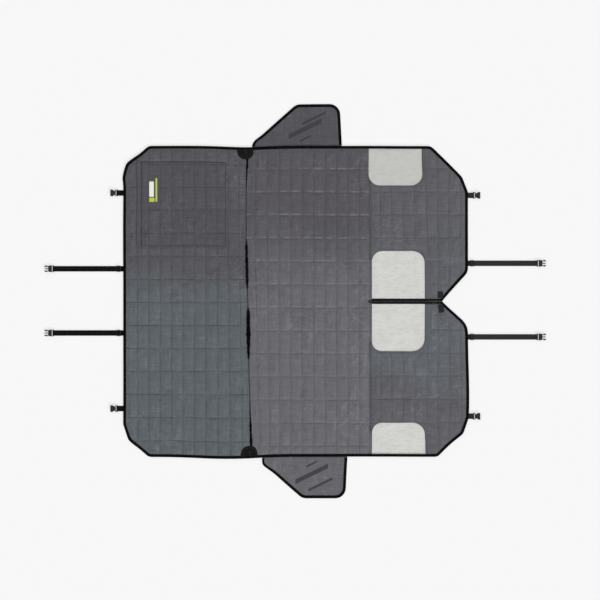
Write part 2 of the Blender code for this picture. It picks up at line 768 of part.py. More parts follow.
def strap_mesh(name, bar_start, bar_length, bar_top, fold, triglide):
    """Webbing sewn under the edge, carried round a buckle's bar and folded back on itself."""
    thick = WEBBING_THICKNESS
    end = bar_start + bar_length + GAP
    crown = bar_top + GAP
    lead = 1.35 * (crown - thick)
    rise = bar_start - 2 * GAP
    outer = [
        (-STRAP_TAIL, 0, 0),
        (end + thick, 0, thick),
        (end + thick, crown + thick, thick),
        (rise - thick / 2, crown + thick, thick),
        (rise - thick / 2 - lead, 2 * thick, thick),
    ]
    hump_walls = []
    if triglide:
        bar = TRIGLIDE_START + (TRIGLIDE_LENGTH - TRIGLIDE_BAR) / 2
        hump_walls = [(bar - GAP, 2 * thick), (bar + TRIGLIDE_BAR + GAP, 2 * thick)]
        hump_top = 2 * thick + GAP + TRIGLIDE_THICKNESS + GAP
        outer += [
            (hump_walls[1][0] + 2 * thick, 2 * thick, 0),
            (hump_walls[1][0] + 2 * thick, hump_top + 2 * thick, thick),
            (hump_walls[0][0] - 2 * thick, hump_top + 2 * thick, thick),
            (hump_walls[0][0] - 2 * thick, thick, 0),
        ]
    else:
        outer += [(fold, 2 * thick, 0), (fold, thick, 0)]
    outer.append((-STRAP_TAIL, thick, 0))
    strap = mesh_object(name, profile_prism(rounded(outer, PROFILE_ARC_STEP), WEBBING_WIDTH), BLACK_WEBBING)
    eye = rounded([(rise - lead, thick, 0), (end, thick, 0), (end, crown, 0), (rise, crown, 0)])
    holes = [profile_prism(eye, 2 * WEBBING_WIDTH)]
    if triglide:
        (low, floor), (high, _) = hump_walls
        holes.append(box((low, -WEBBING_WIDTH, floor), (high, WEBBING_WIDTH, hump_top)))
    cutter = cutter_object(name + "_eyes", *holes)
    cut(strap, cutter)
    return baked(strap, [cutter])


def triglide_mesh():
    """Strap slide: a rounded plate with two slots that leave three bars."""
    half = TRIGLIDE_WIDTH / 2
    low = 2 * WEBBING_THICKNESS + GAP
    outline = rounded(both_sides([(0, half, 0.002), (TRIGLIDE_LENGTH, half, 0.002)]))
    slide = mesh_object("triglide", prism(outline, low, low + TRIGLIDE_THICKNESS), BLACK_PLASTIC)
    add_modifier(slide, "BEVEL", width=PLASTIC_EDGE, segments=1, limit_method="ANGLE", angle_limit=EDGE_ANGLE)
    slot_half = BUCKLE_SLOT_WIDTH / 2
    slot_length = (TRIGLIDE_LENGTH - 3 * TRIGLIDE_BAR) / 2
    slots = []
    for start in (TRIGLIDE_BAR, 2 * TRIGLIDE_BAR + slot_length):
        slots.append(box((start, -slot_half, 0), (start + slot_length, slot_half, SOCKET_THICKNESS)))
    cutter = cutter_object("triglide_slots", *slots)
    cut(slide, cutter)
    return baked(slide, [cutter])


def prong_buckle_mesh():
    """Male half of a side release buckle: ladder plate, collar, two barbed arms and a guide."""
    half = BUCKLE_WIDTH / 2
    arm = SOCKET_CAVITY_WIDTH / 2 - GAP
    tip = PRONG_LENGTH
    outline = rounded(both_sides([
        (0, half, 0.002),
        (COLLAR_END, half, 0.002),
        (COLLAR_END, arm, 0),
        (COLLAR_END + 0.008, arm, 0),
        (COLLAR_END + 0.0095, half, 0.0008),
        (tip - 0.008, half, 0.004),
        (tip, 0.0112, 0.0012),
        (tip - 0.0015, 0.0086, 0.0008),
        (COLLAR_END + 0.003, 0.0086, 0.001),
        (COLLAR_END + 0.003, 0.0018, 0.001),
        (tip - 0.003, 0.0018, 0.0012),
    ]), PROFILE_ARC_STEP)
    low = PRONG_CENTRE_Z - COLLAR_THICKNESS / 2
    high = PRONG_CENTRE_Z + COLLAR_THICKNESS / 2
    buckle = mesh_object("prong_buckle", prism(outline, low, high), BLACK_PLASTIC)
    add_modifier(buckle, "BEVEL", width=PLASTIC_EDGE, segments=1, limit_method="ANGLE", angle_limit=EDGE_ANGLE)
    steps = []
    for start, end in ((-half, COLLAR_START), (COLLAR_END, 2 * tip)):
        steps.append(box((start, -2 * half, -low - half), (end, 2 * half, PRONG_CENTRE_Z - PRONG_PLATE / 2)))
        steps.append(box((start, -2 * half, PRONG_CENTRE_Z + PRONG_PLATE / 2), (end, 2 * half, 2 * high)))
    thinned = cutter_object("prong_steps", *steps)
    cut(buckle, thinned)
    slot_half = BUCKLE_SLOT_WIDTH / 2
    slot = cutter_object(
        "prong_slot", box((PRONG_BAR, -slot_half, -half), (PRONG_SLOT_END, slot_half, 2 * high)))
    cut(buckle, slot)
    return baked(buckle, [thinned, slot])


def socket_buckle_mesh():
    """Female half of a side release buckle: a waisted housing open at its mouth and sides."""
    half = BUCKLE_WIDTH / 2
    outline = rounded(both_sides([
        (0, half, 0.002),
        (0.009, half, 0.0025),
        (0.013, SOCKET_WAIST, 0.002),
        (0.017, SOCKET_WAIST, 0.003),
        (0.023, half, 0.004),
        (SOCKET_LENGTH, half, 0.002),
    ]), PROFILE_ARC_STEP)
    middle = SOCKET_THICKNESS / 2
    buckle = mesh_object("socket_buckle", prism(outline, 0.0, SOCKET_THICKNESS), BLACK_PLASTIC)
    add_modifier(buckle, "BEVEL", width=PLASTIC_EDGE, segments=1, limit_method="ANGLE", angle_limit=EDGE_ANGLE)
    frame_end = SOCKET_SLOT_END
    steps = cutter_object(
        "socket_steps",
        box((-half, -2 * half, -half), (frame_end, 2 * half, middle - SOCKET_FRAME / 2)),
        box((-half, -2 * half, middle + SOCKET_FRAME / 2), (frame_end, 2 * half, 2 * half)))
    cut(buckle, steps)
    slot_half = BUCKLE_SLOT_WIDTH / 2
    slot = cutter_object(
        "socket_slot",
        box((SOCKET_BAR, -slot_half, -half), (SOCKET_SLOT_END + GAP, slot_half, 2 * half)))
    cut(buckle, slot)
    cavity_half = SOCKET_CAVITY_WIDTH / 2
    cavity = cutter_object(
        "socket_cavity",
        box(
            (SOCKET_CAVITY_START, -cavity_half, middle - SOCKET_CAVITY_HEIGHT / 2),
            (2 * SOCKET_LENGTH, cavity_half, middle + SOCKET_CAVITY_HEIGHT / 2)))
    cut(buckle, cavity)
    return baked(buckle, [steps, slot, cavity])


def headrest_straps():
    """Long straps with a male buckle and a strap slide, short straps with a female buckle."""
    prong_top = PRONG_CENTRE_Z + PRONG_PLATE / 2
    socket_top = (SOCKET_THICKNESS + SOCKET_FRAME) / 2
    long_strap = strap_mesh("long_strap", LONG_STRAP_BAR, PRONG_BAR, prong_top, 0.0, True)
    short_strap = strap_mesh(
        "short_strap", SHORT_STRAP_BAR, SOCKET_BAR, socket_top, SHORT_STRAP_FOLD, False)
    prong = prong_buckle_mesh()
    socket = socket_buckle_mesh()
    slide = triglide_mesh()
    ends = (
        ("back", BACK_X, BACK_LONG_Y, BACK_SHORT_Y),
        ("front", FRONT_X, FRONT_LONG_Y, FRONT_SHORT_Y),
    )
    for end, edge_x, long_places, short_places in ends:
        for side, name in enumerate(SIDE_NAMES):
            where = f"{end}_{name}"
            place_on_strap("long_strap_" + where, long_strap, edge_x, long_places[side])
            place_on_strap("triglide_" + where, slide, edge_x, long_places[side], TRIGLIDE_START)
            place_on_strap("prong_buckle_" + where, prong, edge_x, long_places[side], LONG_STRAP_BAR)
            place_on_strap("short_strap_" + where, short_strap, edge_x, short_places[side])
            place_on_strap(
                "socket_buckle_" + where, socket, edge_x, short_places[side], SHORT_STRAP_BAR)


def zip_tapes_and_teeth():
    """Zip tapes sewn to the inner windows and front halves, each with a row of teeth."""
    tape_top = MARGIN_Z + TAPE_THICKNESS
    middle_z = (MARGIN_Z + tape_top) / 2
    low, high = middle_z - ZIP_TOOTH_HEIGHT / 2, middle_z + ZIP_TOOTH_HEIGHT / 2
    edge = ZIP_WIDTH / 2
    spine = ZIP_CHAIN_WIDTH / 2
    root = (spine + ZIP_CHAIN_GAP / 2) / 2
    for side, name in enumerate(SIDE_NAMES):
        outline = [
            (ZIP_REAR_X, ZIP_TAPE_INNER),
            (notch_edge_x(side, ZIP_TAPE_INNER, GAP), ZIP_TAPE_INNER),
            (notch_edge_x(side, edge, GAP), edge),
            (ZIP_REAR_X, edge),
        ]
        tape = mirror_side(prism(outline, MARGIN_Z, tape_top), side)
        mesh_object("zip_tape_" + name, tape, BLACK_TAPE)
        comb = [(ZIP_CHAIN_START, spine)]
        shift = 0.5 * ZIP_TOOTH_PITCH * side
        for start in positions(ZIP_CHAIN_START + shift, ZIP_TOOTH_PITCH, ZIP_CHAIN_START, ZIP_CHAIN_END):
            if start + ZIP_TOOTH_PITCH / 2 > ZIP_CHAIN_END:
                break
            comb.append((start, root))
            comb.append((start + ZIP_TOOTH_PITCH * 0.1, ZIP_CHAIN_GAP / 2))
            comb.append((start + ZIP_TOOTH_PITCH * 0.4, ZIP_CHAIN_GAP / 2))
            comb.append((start + ZIP_TOOTH_PITCH * 0.5, root))
        comb.append((ZIP_CHAIN_END, root))
        comb.append((ZIP_CHAIN_END, spine))
        mesh_object("zip_teeth_" + name, mirror_side(prism(comb, low, high), side), BLACK_PLASTIC)
    stop = box((ZIP_STOP_X, -spine, low), (ZIP_STOP_X + ZIP_STOP_LENGTH, spine, high))
    mesh_object("zip_bottom_stop", stop, DARK_ZINC)


def zip_slider():
    """Slider: two plates on a neck that ride on the teeth, with a bridge that holds the pull."""
    half = SLIDER_WIDTH / 2
    reach = SLIDER_LENGTH / 2
    teeth_low = MARGIN_Z + TAPE_THICKNESS / 2 - ZIP_TOOTH_HEIGHT / 2
    teeth_high = teeth_low + ZIP_TOOTH_HEIGHT
    inner_low = teeth_low - SLIDER_CLEARANCE
    inner_high = teeth_high + SLIDER_CLEARANCE
    low = inner_low - SLIDER_PLATE
    top = inner_high + SLIDER_PLATE
    outline = rounded(both_sides([(-reach, 0.8 * half, 0.001), (0, half, 0.01), (reach, half, 0.003)]))
    slider = mesh_object("zip_slider", prism(outline, low, top), DARK_ZINC)
    channel_half = ZIP_CHAIN_WIDTH / 2 + SLIDER_CLEARANCE
    neck_half = ZIP_CHAIN_GAP / 2 - SLIDER_CLEARANCE
    neck_start = reach / 3
    channel = rounded([
        (-2 * reach, -channel_half, 0),
        (2 * reach, -channel_half, 0),
        (2 * reach, -neck_half, 0),
        (neck_start, -neck_half, 0),
        (neck_start, neck_half, 0),
        (2 * reach, neck_half, 0),
        (2 * reach, channel_half, 0),
        (-2 * reach, channel_half, 0),
    ])
    cut(slider, cutter_object("slider_channel", prism(channel, inner_low, inner_high)))
    slot_low = MARGIN_Z - SLIDER_CLEARANCE
    slot_high = MARGIN_Z + TAPE_THICKNESS + SLIDER_CLEARANCE
    slots = []
    for sign in SIDE_SIGNS:
        ends = sorted((sign * (channel_half - GAP), sign * 2 * half))
        slots.append(box((-2 * reach, ends[0], slot_low), (2 * reach, ends[1], slot_high)))
    cut(slider, cutter_object("slider_slots", *slots))
    pivot_z = top + GAP + PULL_WIRE / 2 + reach * math.tan(PULL_TILT) + PULL_LIFT
    eye_top = pivot_z + PULL_WIRE / math.sqrt(2) + SLIDER_CLEARANCE / 4
    bridge_top = eye_top + BRIDGE_WIRE
    bridge_reach = BRIDGE_SPAN / 2
    bridge = rounded([
        (-bridge_reach, top - GAP, 0),
        (-bridge_reach + BRIDGE_WIRE, top - GAP, 0),
        (-bridge_reach + BRIDGE_WIRE, eye_top, 0),
        (bridge_reach - BRIDGE_WIRE, eye_top, 0),
        (bridge_reach - BRIDGE_WIRE, top - GAP, 0),
        (bridge_reach, top - GAP, 0),
        (bridge_reach, bridge_top, BRIDGE_WIRE),
        (-bridge_reach, bridge_top, BRIDGE_WIRE),
    ])
    arch = cutter_object("slider_bridge", profile_prism(bridge, BRIDGE_WIDTH))
    union = slider.modifiers.new("bridge", "BOOLEAN")
    union.operation = "UNION"
    union.solver = "EXACT"
    union.object = arch
    for piece in (slider, *(modifier.object for modifier in slider.modifiers)):
        piece.location = (SLIDER_X, 0, 0)
    return pivot_z


def zip_pull(pivot_z):
    """Flat pull that lies back over the zip, hung on the slider's bridge by its cross bar."""
    half = PULL_WIDTH / 2
    outline = rounded(both_sides([(-PULL_LENGTH, half, 0.0026), (PULL_WIRE / 2, half, 0.001)]))
    pull = mesh_object("zip_pull", prism(outline, -PULL_WIRE / 2, PULL_WIRE / 2), DARK_ZINC)
    eye_half = half - PULL_WIRE
    finger_half = half - 1.2 * PULL_WIRE
    finger_hole = rounded(both_sides([
        (-PULL_LENGTH + 2 * PULL_WIRE, finger_half, 0.0013),
        (-PULL_LENGTH + PULL_HOLE, finger_half, 0.0013),
    ]))
    holes = cutter_object(
        "pull_holes",
        box((-PULL_EYE, -eye_half, -half), (-PULL_WIRE / 2, eye_half, half)),
        prism(finger_hole, -half, half))
    cut(pull, holes)
    for piece in (pull, holes):
        piece.location = (SLIDER_X, 0, pivot_z)
        piece.rotation_euler = (0, -PULL_TILT, 0)


def finger_tabs():
    """Folded webbing tabs sewn on either side of the zip's open end."""
    bottom = BINDING_TOP_Z + GAP
    thick = WEBBING_THICKNESS
    for side, name in enumerate(SIDE_NAMES):
        node = "zip_tab_" + name
        length = TAB_LENGTH[side]
        profile = [
            (0, bottom), (length, bottom), (length, bottom + 2 * thick + GAP),
            (0, bottom + 2 * thick + GAP), (0, bottom + thick + GAP),
            (length - thick, bottom + thick + GAP), (length - thick, bottom + thick), (0, bottom + thick),
        ]
        tab = mesh_object(node, profile_prism(profile, TAB_WIDTH), BLACK_WEBBING)
        grown = TAB_WIDTH / 2 + GAP
        recess = cutter_object(
            node + "_recess", box((-GAP, -grown, BINDING_TOP_Z), (length + GAP, grown, 2 * CLOTH_TOP_Z)))
        for piece in (tab, recess):
            piece.location = (NOTCH_X - TAB_SETBACK, SIDE_SIGNS[side] * TAB_EDGE_Y, 0)
            piece.rotation_euler = (0, 0, SIDE_SIGNS[side] * math.pi / 2 - TAB_TURN[side])
        cut(FRONTS[side], recess)


mesh_windows()
edge_bindings()
side_flaps()
seam_and_patches()
pocket()
headrest_straps()
zip_tapes_and_teeth()
PIVOT_Z = zip_slider()
zip_pull(PIVOT_Z)
finger_tabs()
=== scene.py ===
"""A quilted dog car hammock, laid flat and seen straight from above."""

import math

import bmesh
import bpy
import numpy as np
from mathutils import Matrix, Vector, noise


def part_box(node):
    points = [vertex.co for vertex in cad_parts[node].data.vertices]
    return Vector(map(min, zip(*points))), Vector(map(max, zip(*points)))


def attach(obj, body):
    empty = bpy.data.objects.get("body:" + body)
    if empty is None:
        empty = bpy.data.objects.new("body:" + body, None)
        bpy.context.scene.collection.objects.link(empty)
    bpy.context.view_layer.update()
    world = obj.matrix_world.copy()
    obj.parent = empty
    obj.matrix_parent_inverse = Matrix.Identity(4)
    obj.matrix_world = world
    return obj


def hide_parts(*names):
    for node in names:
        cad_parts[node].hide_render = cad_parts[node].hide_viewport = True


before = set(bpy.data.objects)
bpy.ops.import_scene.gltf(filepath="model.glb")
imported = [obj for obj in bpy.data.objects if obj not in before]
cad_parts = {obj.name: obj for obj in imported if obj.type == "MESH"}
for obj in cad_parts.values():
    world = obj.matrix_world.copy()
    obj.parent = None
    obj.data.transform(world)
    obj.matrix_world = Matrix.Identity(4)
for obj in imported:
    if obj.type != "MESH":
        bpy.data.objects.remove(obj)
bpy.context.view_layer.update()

# The sweep that the hammock lies on for its catalogue picture: white paper, two soft lamps high
# over the lower right and the upper left, and a camera straight above the middle.
VIEW_CENTRE = (0.0215, 0.006)
VIEW_WIDTH = 2.748
CAMERA_HEIGHT = 6.0
SENSOR_WIDTH = 36.0
PAPER_Z = -0.0008
PAPER_SIZE = 40
PAPER_SHADOW_SHARE = 0.35
PAPER_WHITE = 0.945
PAPER_GREY = (0.93, 0.93, 0.93, 1)
SKY_STRENGTH = 0.52


def soft_lamp(name, strength, softness, slope, towards):
    """A wide sun lamp, tilted by slope from straight down, that shines towards a compass angle."""
    lamp = bpy.data.lights.new(name, "SUN")
    lamp.energy = strength
    lamp.angle = math.radians(softness)
    item = bpy.data.objects.new(name, lamp)
    item.rotation_euler = (math.radians(slope), 0, math.radians(towards))
    bpy.context.scene.collection.objects.link(item)


soft_lamp("key_lamp", strength=1.9, softness=24, slope=57, towards=38)
soft_lamp("fill_lamp", strength=0.55, softness=60, slope=40, towards=215)

world = bpy.data.worlds.new("studio")
world.use_nodes = True
sky = world.node_tree.nodes["Background"]
sky.inputs["Color"].default_value = (1, 1, 1, 1)
sky.inputs["Strength"].default_value = SKY_STRENGTH
bpy.context.scene.world = world

bpy.ops.mesh.primitive_plane_add(size=PAPER_SIZE, location=(0, 0, PAPER_Z))
paper = bpy.context.object
paper.name = "paper"
paper_finish = bpy.data.materials.new("white_paper")
paper_finish.use_nodes = True
paper_nodes = paper_finish.node_tree.nodes
paper_links = paper_finish.node_tree.links
paper_nodes["Principled BSDF"].inputs["Base Color"].default_value = PAPER_GREY
paper_nodes["Principled BSDF"].inputs["Roughness"].default_value = 1.0
plain_white = paper_nodes.new("ShaderNodeEmission")
plain_white.inputs["Strength"].default_value = PAPER_WHITE
seen_how = paper_nodes.new("ShaderNodeLightPath")
seen_directly = paper_nodes.new("ShaderNodeMath")
seen_directly.operation = "MULTIPLY"
seen_directly.inputs[1].default_value = 1 - PAPER_SHADOW_SHARE
paper_links.new(seen_how.outputs["Is Camera Ray"], seen_directly.inputs[0])
paper_mix = paper_nodes.new("ShaderNodeMixShader")
paper_links.new(seen_directly.outputs[0], paper_mix.inputs[0])
paper_links.new(paper_nodes["Principled BSDF"].outputs[0], paper_mix.inputs[1])
paper_links.new(plain_white.outputs[0], paper_mix.inputs[2])
paper_links.new(paper_mix.outputs[0], paper_nodes["Material Output"].inputs["Surface"])
paper.data.materials.append(paper_finish)

camera_data = bpy.data.cameras.new("overhead_camera")
camera_data.sensor_width = SENSOR_WIDTH
camera_data.lens = SENSOR_WIDTH * CAMERA_HEIGHT / VIEW_WIDTH
camera_data.clip_end = 100
camera = bpy.data.objects.new("overhead_camera", camera_data)
camera.location = (*VIEW_CENTRE, CAMERA_HEIGHT)
bpy.context.scene.collection.objects.link(camera)
bpy.context.scene.camera = camera
bpy.context.scene.view_settings.view_transform = "Standard"


# The four quilted panels: two layers of grey oxford polyester with wadding between them, sewn
# through in a grid of tall narrow cells, so that the cloth rises between the stitched lines.
# The cut edges stay flat for the binding, and the seams pull small puckers into the cloth.
# Each pair of tones runs from the cloth in painted shade, at the top, to the cloth in painted light, lower
# down.
BACK_TONES = ((0.096, 0.094, 0.105), (0.113, 0.127, 0.138))
SEAT_TONES = ((0.098, 0.094, 0.106), (0.143, 0.143, 0.157))
FRONT_TONES = ((0.115, 0.114, 0.127), (0.123, 0.133, 0.146))
POCKET_TONES = ((0.087, 0.084, 0.095), (0.090, 0.089, 0.101))
SHADE_AND_SEAM_GREY = (0.045, 0.045, 0.049)
LONG_CHANGE = (0.42, -0.12)
SHORT_CHANGE = (0.23, -0.03)
CHANGE_BACK = (-0.19, -0.42)
DARK_FLECK = 0.68
LIGHT_FLECK = 1.38
LIT_FOLD = 1.60
QUILT_PITCH = (0.0522, 0.1053)
CELLS_PER_PITCH = (12, 24)
BACK_QUILT_START = (-0.7227, -0.005)
SEAT_QUILT_START = (-0.1777, -0.0305)
FRONT_QUILT_START = (0.3885, -0.026)
MARGIN_BOTTOM_Z = 0.0029
MARGIN_TOP_Z = 0.0053
FLAT_MARGIN = 0.012
UNDERSIDE_RAMP = 0.008
QUILT_RISE = 0.0046
QUILT_SHOULDER = 0.010
QUILT_EDGE_RAMP = 0.022
HELD_FLAT_RAMP = 0.012
PLUMP_CHANGE = 0.22
PUCKER_HEIGHT = 0.00055
SWELL_HEIGHT = 0.0007
WRINKLE_HEIGHT = 0.0032
DEEPEST_DIP = 0.0007
THREAD_LENGTH = 0.0034
THREAD_GAP = (0.0002, 0.0007)
LINE_EDGE = (0.0016, 0.0005)
# The painted shade along the quilting lines: how wide it is, and how dark on plain cloth and on cloth with
# painted highlights.
GROOVE_SHADE_EDGE = (0.0042, 0.0004)
LINE_SHADE = 0.52
LINE_SHADE_BY_LIT_FOLDS = 0.34
LIT_FOLD_ABOVE_LINE = (0.0058, 0.0056)
SEAM_HALF_WIDTH = 0.0018
TURNED_EDGE_SHADE = (0.0042, 0.0012)
EDGE_STITCH = 0.0085
EDGE_LINE = (0.0015, 0.0005)
WELD_DISTANCE = 0.00002
ARC_CHORD_LIMIT = 0.030
ARC_TURN_LIMIT = math.radians(24)
SHARP_TURN = math.radians(50)
CLOTH_ROUGHNESS = 0.82
CLOTH_SPECULAR = 0.12
WEAVE_PITCH = 0.0011
WEAVE_DEPTH = 0.00016


class Value:
    """A number that varies over a surface. Arithmetic on it adds the Math nodes for it."""

    def __init__(self, finish, socket):
        self.finish = finish
        self.socket = socket

    def math(self, operation, *others):
        return self.finish.math(operation, self, *others)

    def wave(self, pitch):
        """A sine wave from -1 to 1 that repeats at each pitch."""
        return (self * (2 * math.pi / pitch)).math("SINE")

    def __add__(self, other):
        return self.finish.math("ADD", self, other)

    def __radd__(self, other):
        return self.finish.math("ADD", other, self)

    def __sub__(self, other):
        return self.finish.math("SUBTRACT", self, other)

    def __rsub__(self, other):
        return self.finish.math("SUBTRACT", other, self)

    def __mul__(self, other):
        return self.finish.math("MULTIPLY", self, other)


class Finish:
    """One material: its shader, the place on the object, and the nodes that vary the surface."""

    def __init__(self, name, colour, roughness, metallic=0.0, specular=CLOTH_SPECULAR):
        self.material = bpy.data.materials.new(name)
        self.material.use_nodes = True
        self.nodes = self.material.node_tree.nodes
        self.links = self.material.node_tree.links
        self.shader = self.nodes["Principled BSDF"]
        self.shader.inputs["Base Color"].default_value = (*colour, 1)
        self.shader.inputs["Roughness"].default_value = roughness
        self.shader.inputs["Metallic"].default_value = metallic
        self.shader.inputs["Specular IOR Level"].default_value = specular
        self.place = self.node("ShaderNodeTexCoord").outputs["Object"]
        parts = self.node("ShaderNodeSeparateXYZ", values={"Vector": self.place})
        self.x = Value(self, parts.outputs["X"])
        self.y = Value(self, parts.outputs["Y"])

    def node(self, kind, settings=None, values=None):
        """Adds a node: its settings first, then a value or a link for each socket named."""
        node = self.nodes.new(kind)
        for name, setting in (settings or {}).items():
            setattr(node, name, setting)
        for name, value in (values or {}).items():
            self.feed(node.inputs[name], value)
        return node

    def feed(self, socket, value):
        """Sets a socket, or links it where the value is another node's output."""
        source = value.socket if isinstance(value, Value) else value
        if isinstance(source, bpy.types.NodeSocket):
            self.links.new(source, socket)
        elif socket.type == "RGBA" and len(source) == 3:
            socket.default_value = (*source, 1)
        else:
            socket.default_value = source

    def math(self, operation, *operands):
        """One Math node on numbers that vary or are plain."""
        values = dict(enumerate(operands))
        node = self.node("ShaderNodeMath", {"operation": operation}, values)
        return Value(self, node.outputs[0])

    def smooth(self, value, low, high):
        """0 below low and 1 above high, with a soft change between them."""
        settings = {"interpolation_type": "SMOOTHSTEP"}
        values = {"Value": value, "From Min": low, "From Max": high}
        node = self.node("ShaderNodeMapRange", settings, values)
        return Value(self, node.outputs["Result"])

    def noise(self, scale, detail=2.0, stretch=(1, 1, 1)):
        """Cloudy noise from 0 to 1 about 0.5, drawn out along an axis by a small stretch."""
        mapped = self.node("ShaderNodeMapping", values={"Vector": self.place, "Scale": stretch})
        values = {"Vector": mapped.outputs[0], "Scale": scale, "Detail": detail}
        node = self.node("ShaderNodeTexNoise", values=values)
        return Value(self, node.outputs[0])

    def slanting_creases(self, scale, turn):
        """Thin wandering ridges, drawn out along a slanting line: 1 on them and 0 beside them."""
        values = {"Vector": self.place, "Rotation": (0, 0, turn), "Scale": (3.2, 1, 1)}
        mapped = self.node("ShaderNodeMapping", {"vector_type": "TEXTURE"}, values)
        values = {"Vector": mapped.outputs[0], "Scale": scale, "Detail": 2.0}
        level = Value(self, self.node("ShaderNodeTexNoise", values=values).outputs[0])
        return self.smooth((level - 0.5).math("ABSOLUTE"), 0.045, 0.0)

    def creases(self):
        """The creases of handled cloth: two slants that cross, in patches."""
        crossed = self.slanting_creases(13, 0.85).math("MAXIMUM", self.slanting_creases(15, -0.75))
        return crossed * self.smooth(self.noise(4.5, 2), 0.44, 0.62)

    def mix(self, factor, first, second):
        """The colour that is first at factor 0 and second at factor 1."""
        values = {0: factor, 6: first, 7: second}
        node = self.node("ShaderNodeMix", {"data_type": "RGBA"}, values)
        return node.outputs[2]

    def attribute(self, name):
        """A number stored on the piece's own points."""
        node = self.node("ShaderNodeAttribute", {"attribute_name": name})
        return Value(self, node.outputs["Fac"])

    def colour(self, value):
        """Feeds the shader's base colour."""
        self.feed(self.shader.inputs["Base Color"], value)

    def roughness(self, value):
        """Feeds the shader's roughness."""
        self.feed(self.shader.inputs["Roughness"], value)

    def bump(self, height):
        """Feeds a height in metres to the shader's normal."""
        values = {"Height": height, "Distance": 1.0, "Strength": 1.0}
        node = self.node("ShaderNodeBump", values=values)
        self.links.new(node.outputs[0], self.shader.inputs["Normal"])

    def weave(self, pitch, depth):
        """The height of a plain weave, its warp along Y and its weft along X."""
        return self.x.wave(pitch) * self.y.wave(pitch) * (depth / 2)


def shaded(colour, factor):
    """A colour made lighter or darker by a factor."""
    return tuple(channel * factor for channel in colour)


def stitched_line(finish, place, at, half_width):
    """1 on a stitched line across a coordinate, and 0 beside it."""
    return finish.smooth((place - at).math("ABSOLUTE"), half_width, half_width * 0.4)


def oxford_colour(cloth, shade, tones, change=LONG_CHANGE, turns_back=0.0):
    """Grey oxford cloth: painted light that makes it lighter lower down the panel, painted shade in its
    creases, and flecks along its threads.
    """
    # Painted light: the tone changes from the first to the second down the panel, lighter where the light
    # falls, and darker again at the bottom by turns_back.
    cloudy_y = cloth.y + (cloth.noise(2.2) - 0.5) * (change[0] - change[1]) * 1.5
    painted_light_drift = cloth.smooth(cloudy_y, *change) * (1 - cloth.smooth(cloudy_y, *CHANGE_BACK) * turns_back)
    slubs = cloth.noise(46, 3, (0.12, 1, 1)) + cloth.noise(46, 3, (1, 0.12, 1))
    threads = cloth.noise(150, 1, (0.10, 1, 1)) + cloth.noise(150, 1, (1, 0.10, 1))
    tone = (slubs - 1) * 0.30 + (threads - 1) * 0.70 + (cloth.noise(9, 3) - 0.5) * 0.25
    # Painted shade: the creases are darker.
    tone = tone - cloth.creases() * 0.20
    base = cloth.mix(painted_light_drift, *tones)
    dark = cloth.mix(painted_light_drift, *(shaded(end, DARK_FLECK) for end in tones))
    light = cloth.mix(painted_light_drift, *(shaded(end, LIGHT_FLECK) for end in tones))
    flecked = cloth.mix(cloth.smooth(tone, 0.0, 0.50), base, dark)
    flecked = cloth.mix(cloth.smooth(tone, 0.0, -0.50), flecked, light)
    # The painted shade and the seam lines darken the cloth towards one dark grey.
    return cloth.mix(shade, flecked, SHADE_AND_SEAM_GREY)


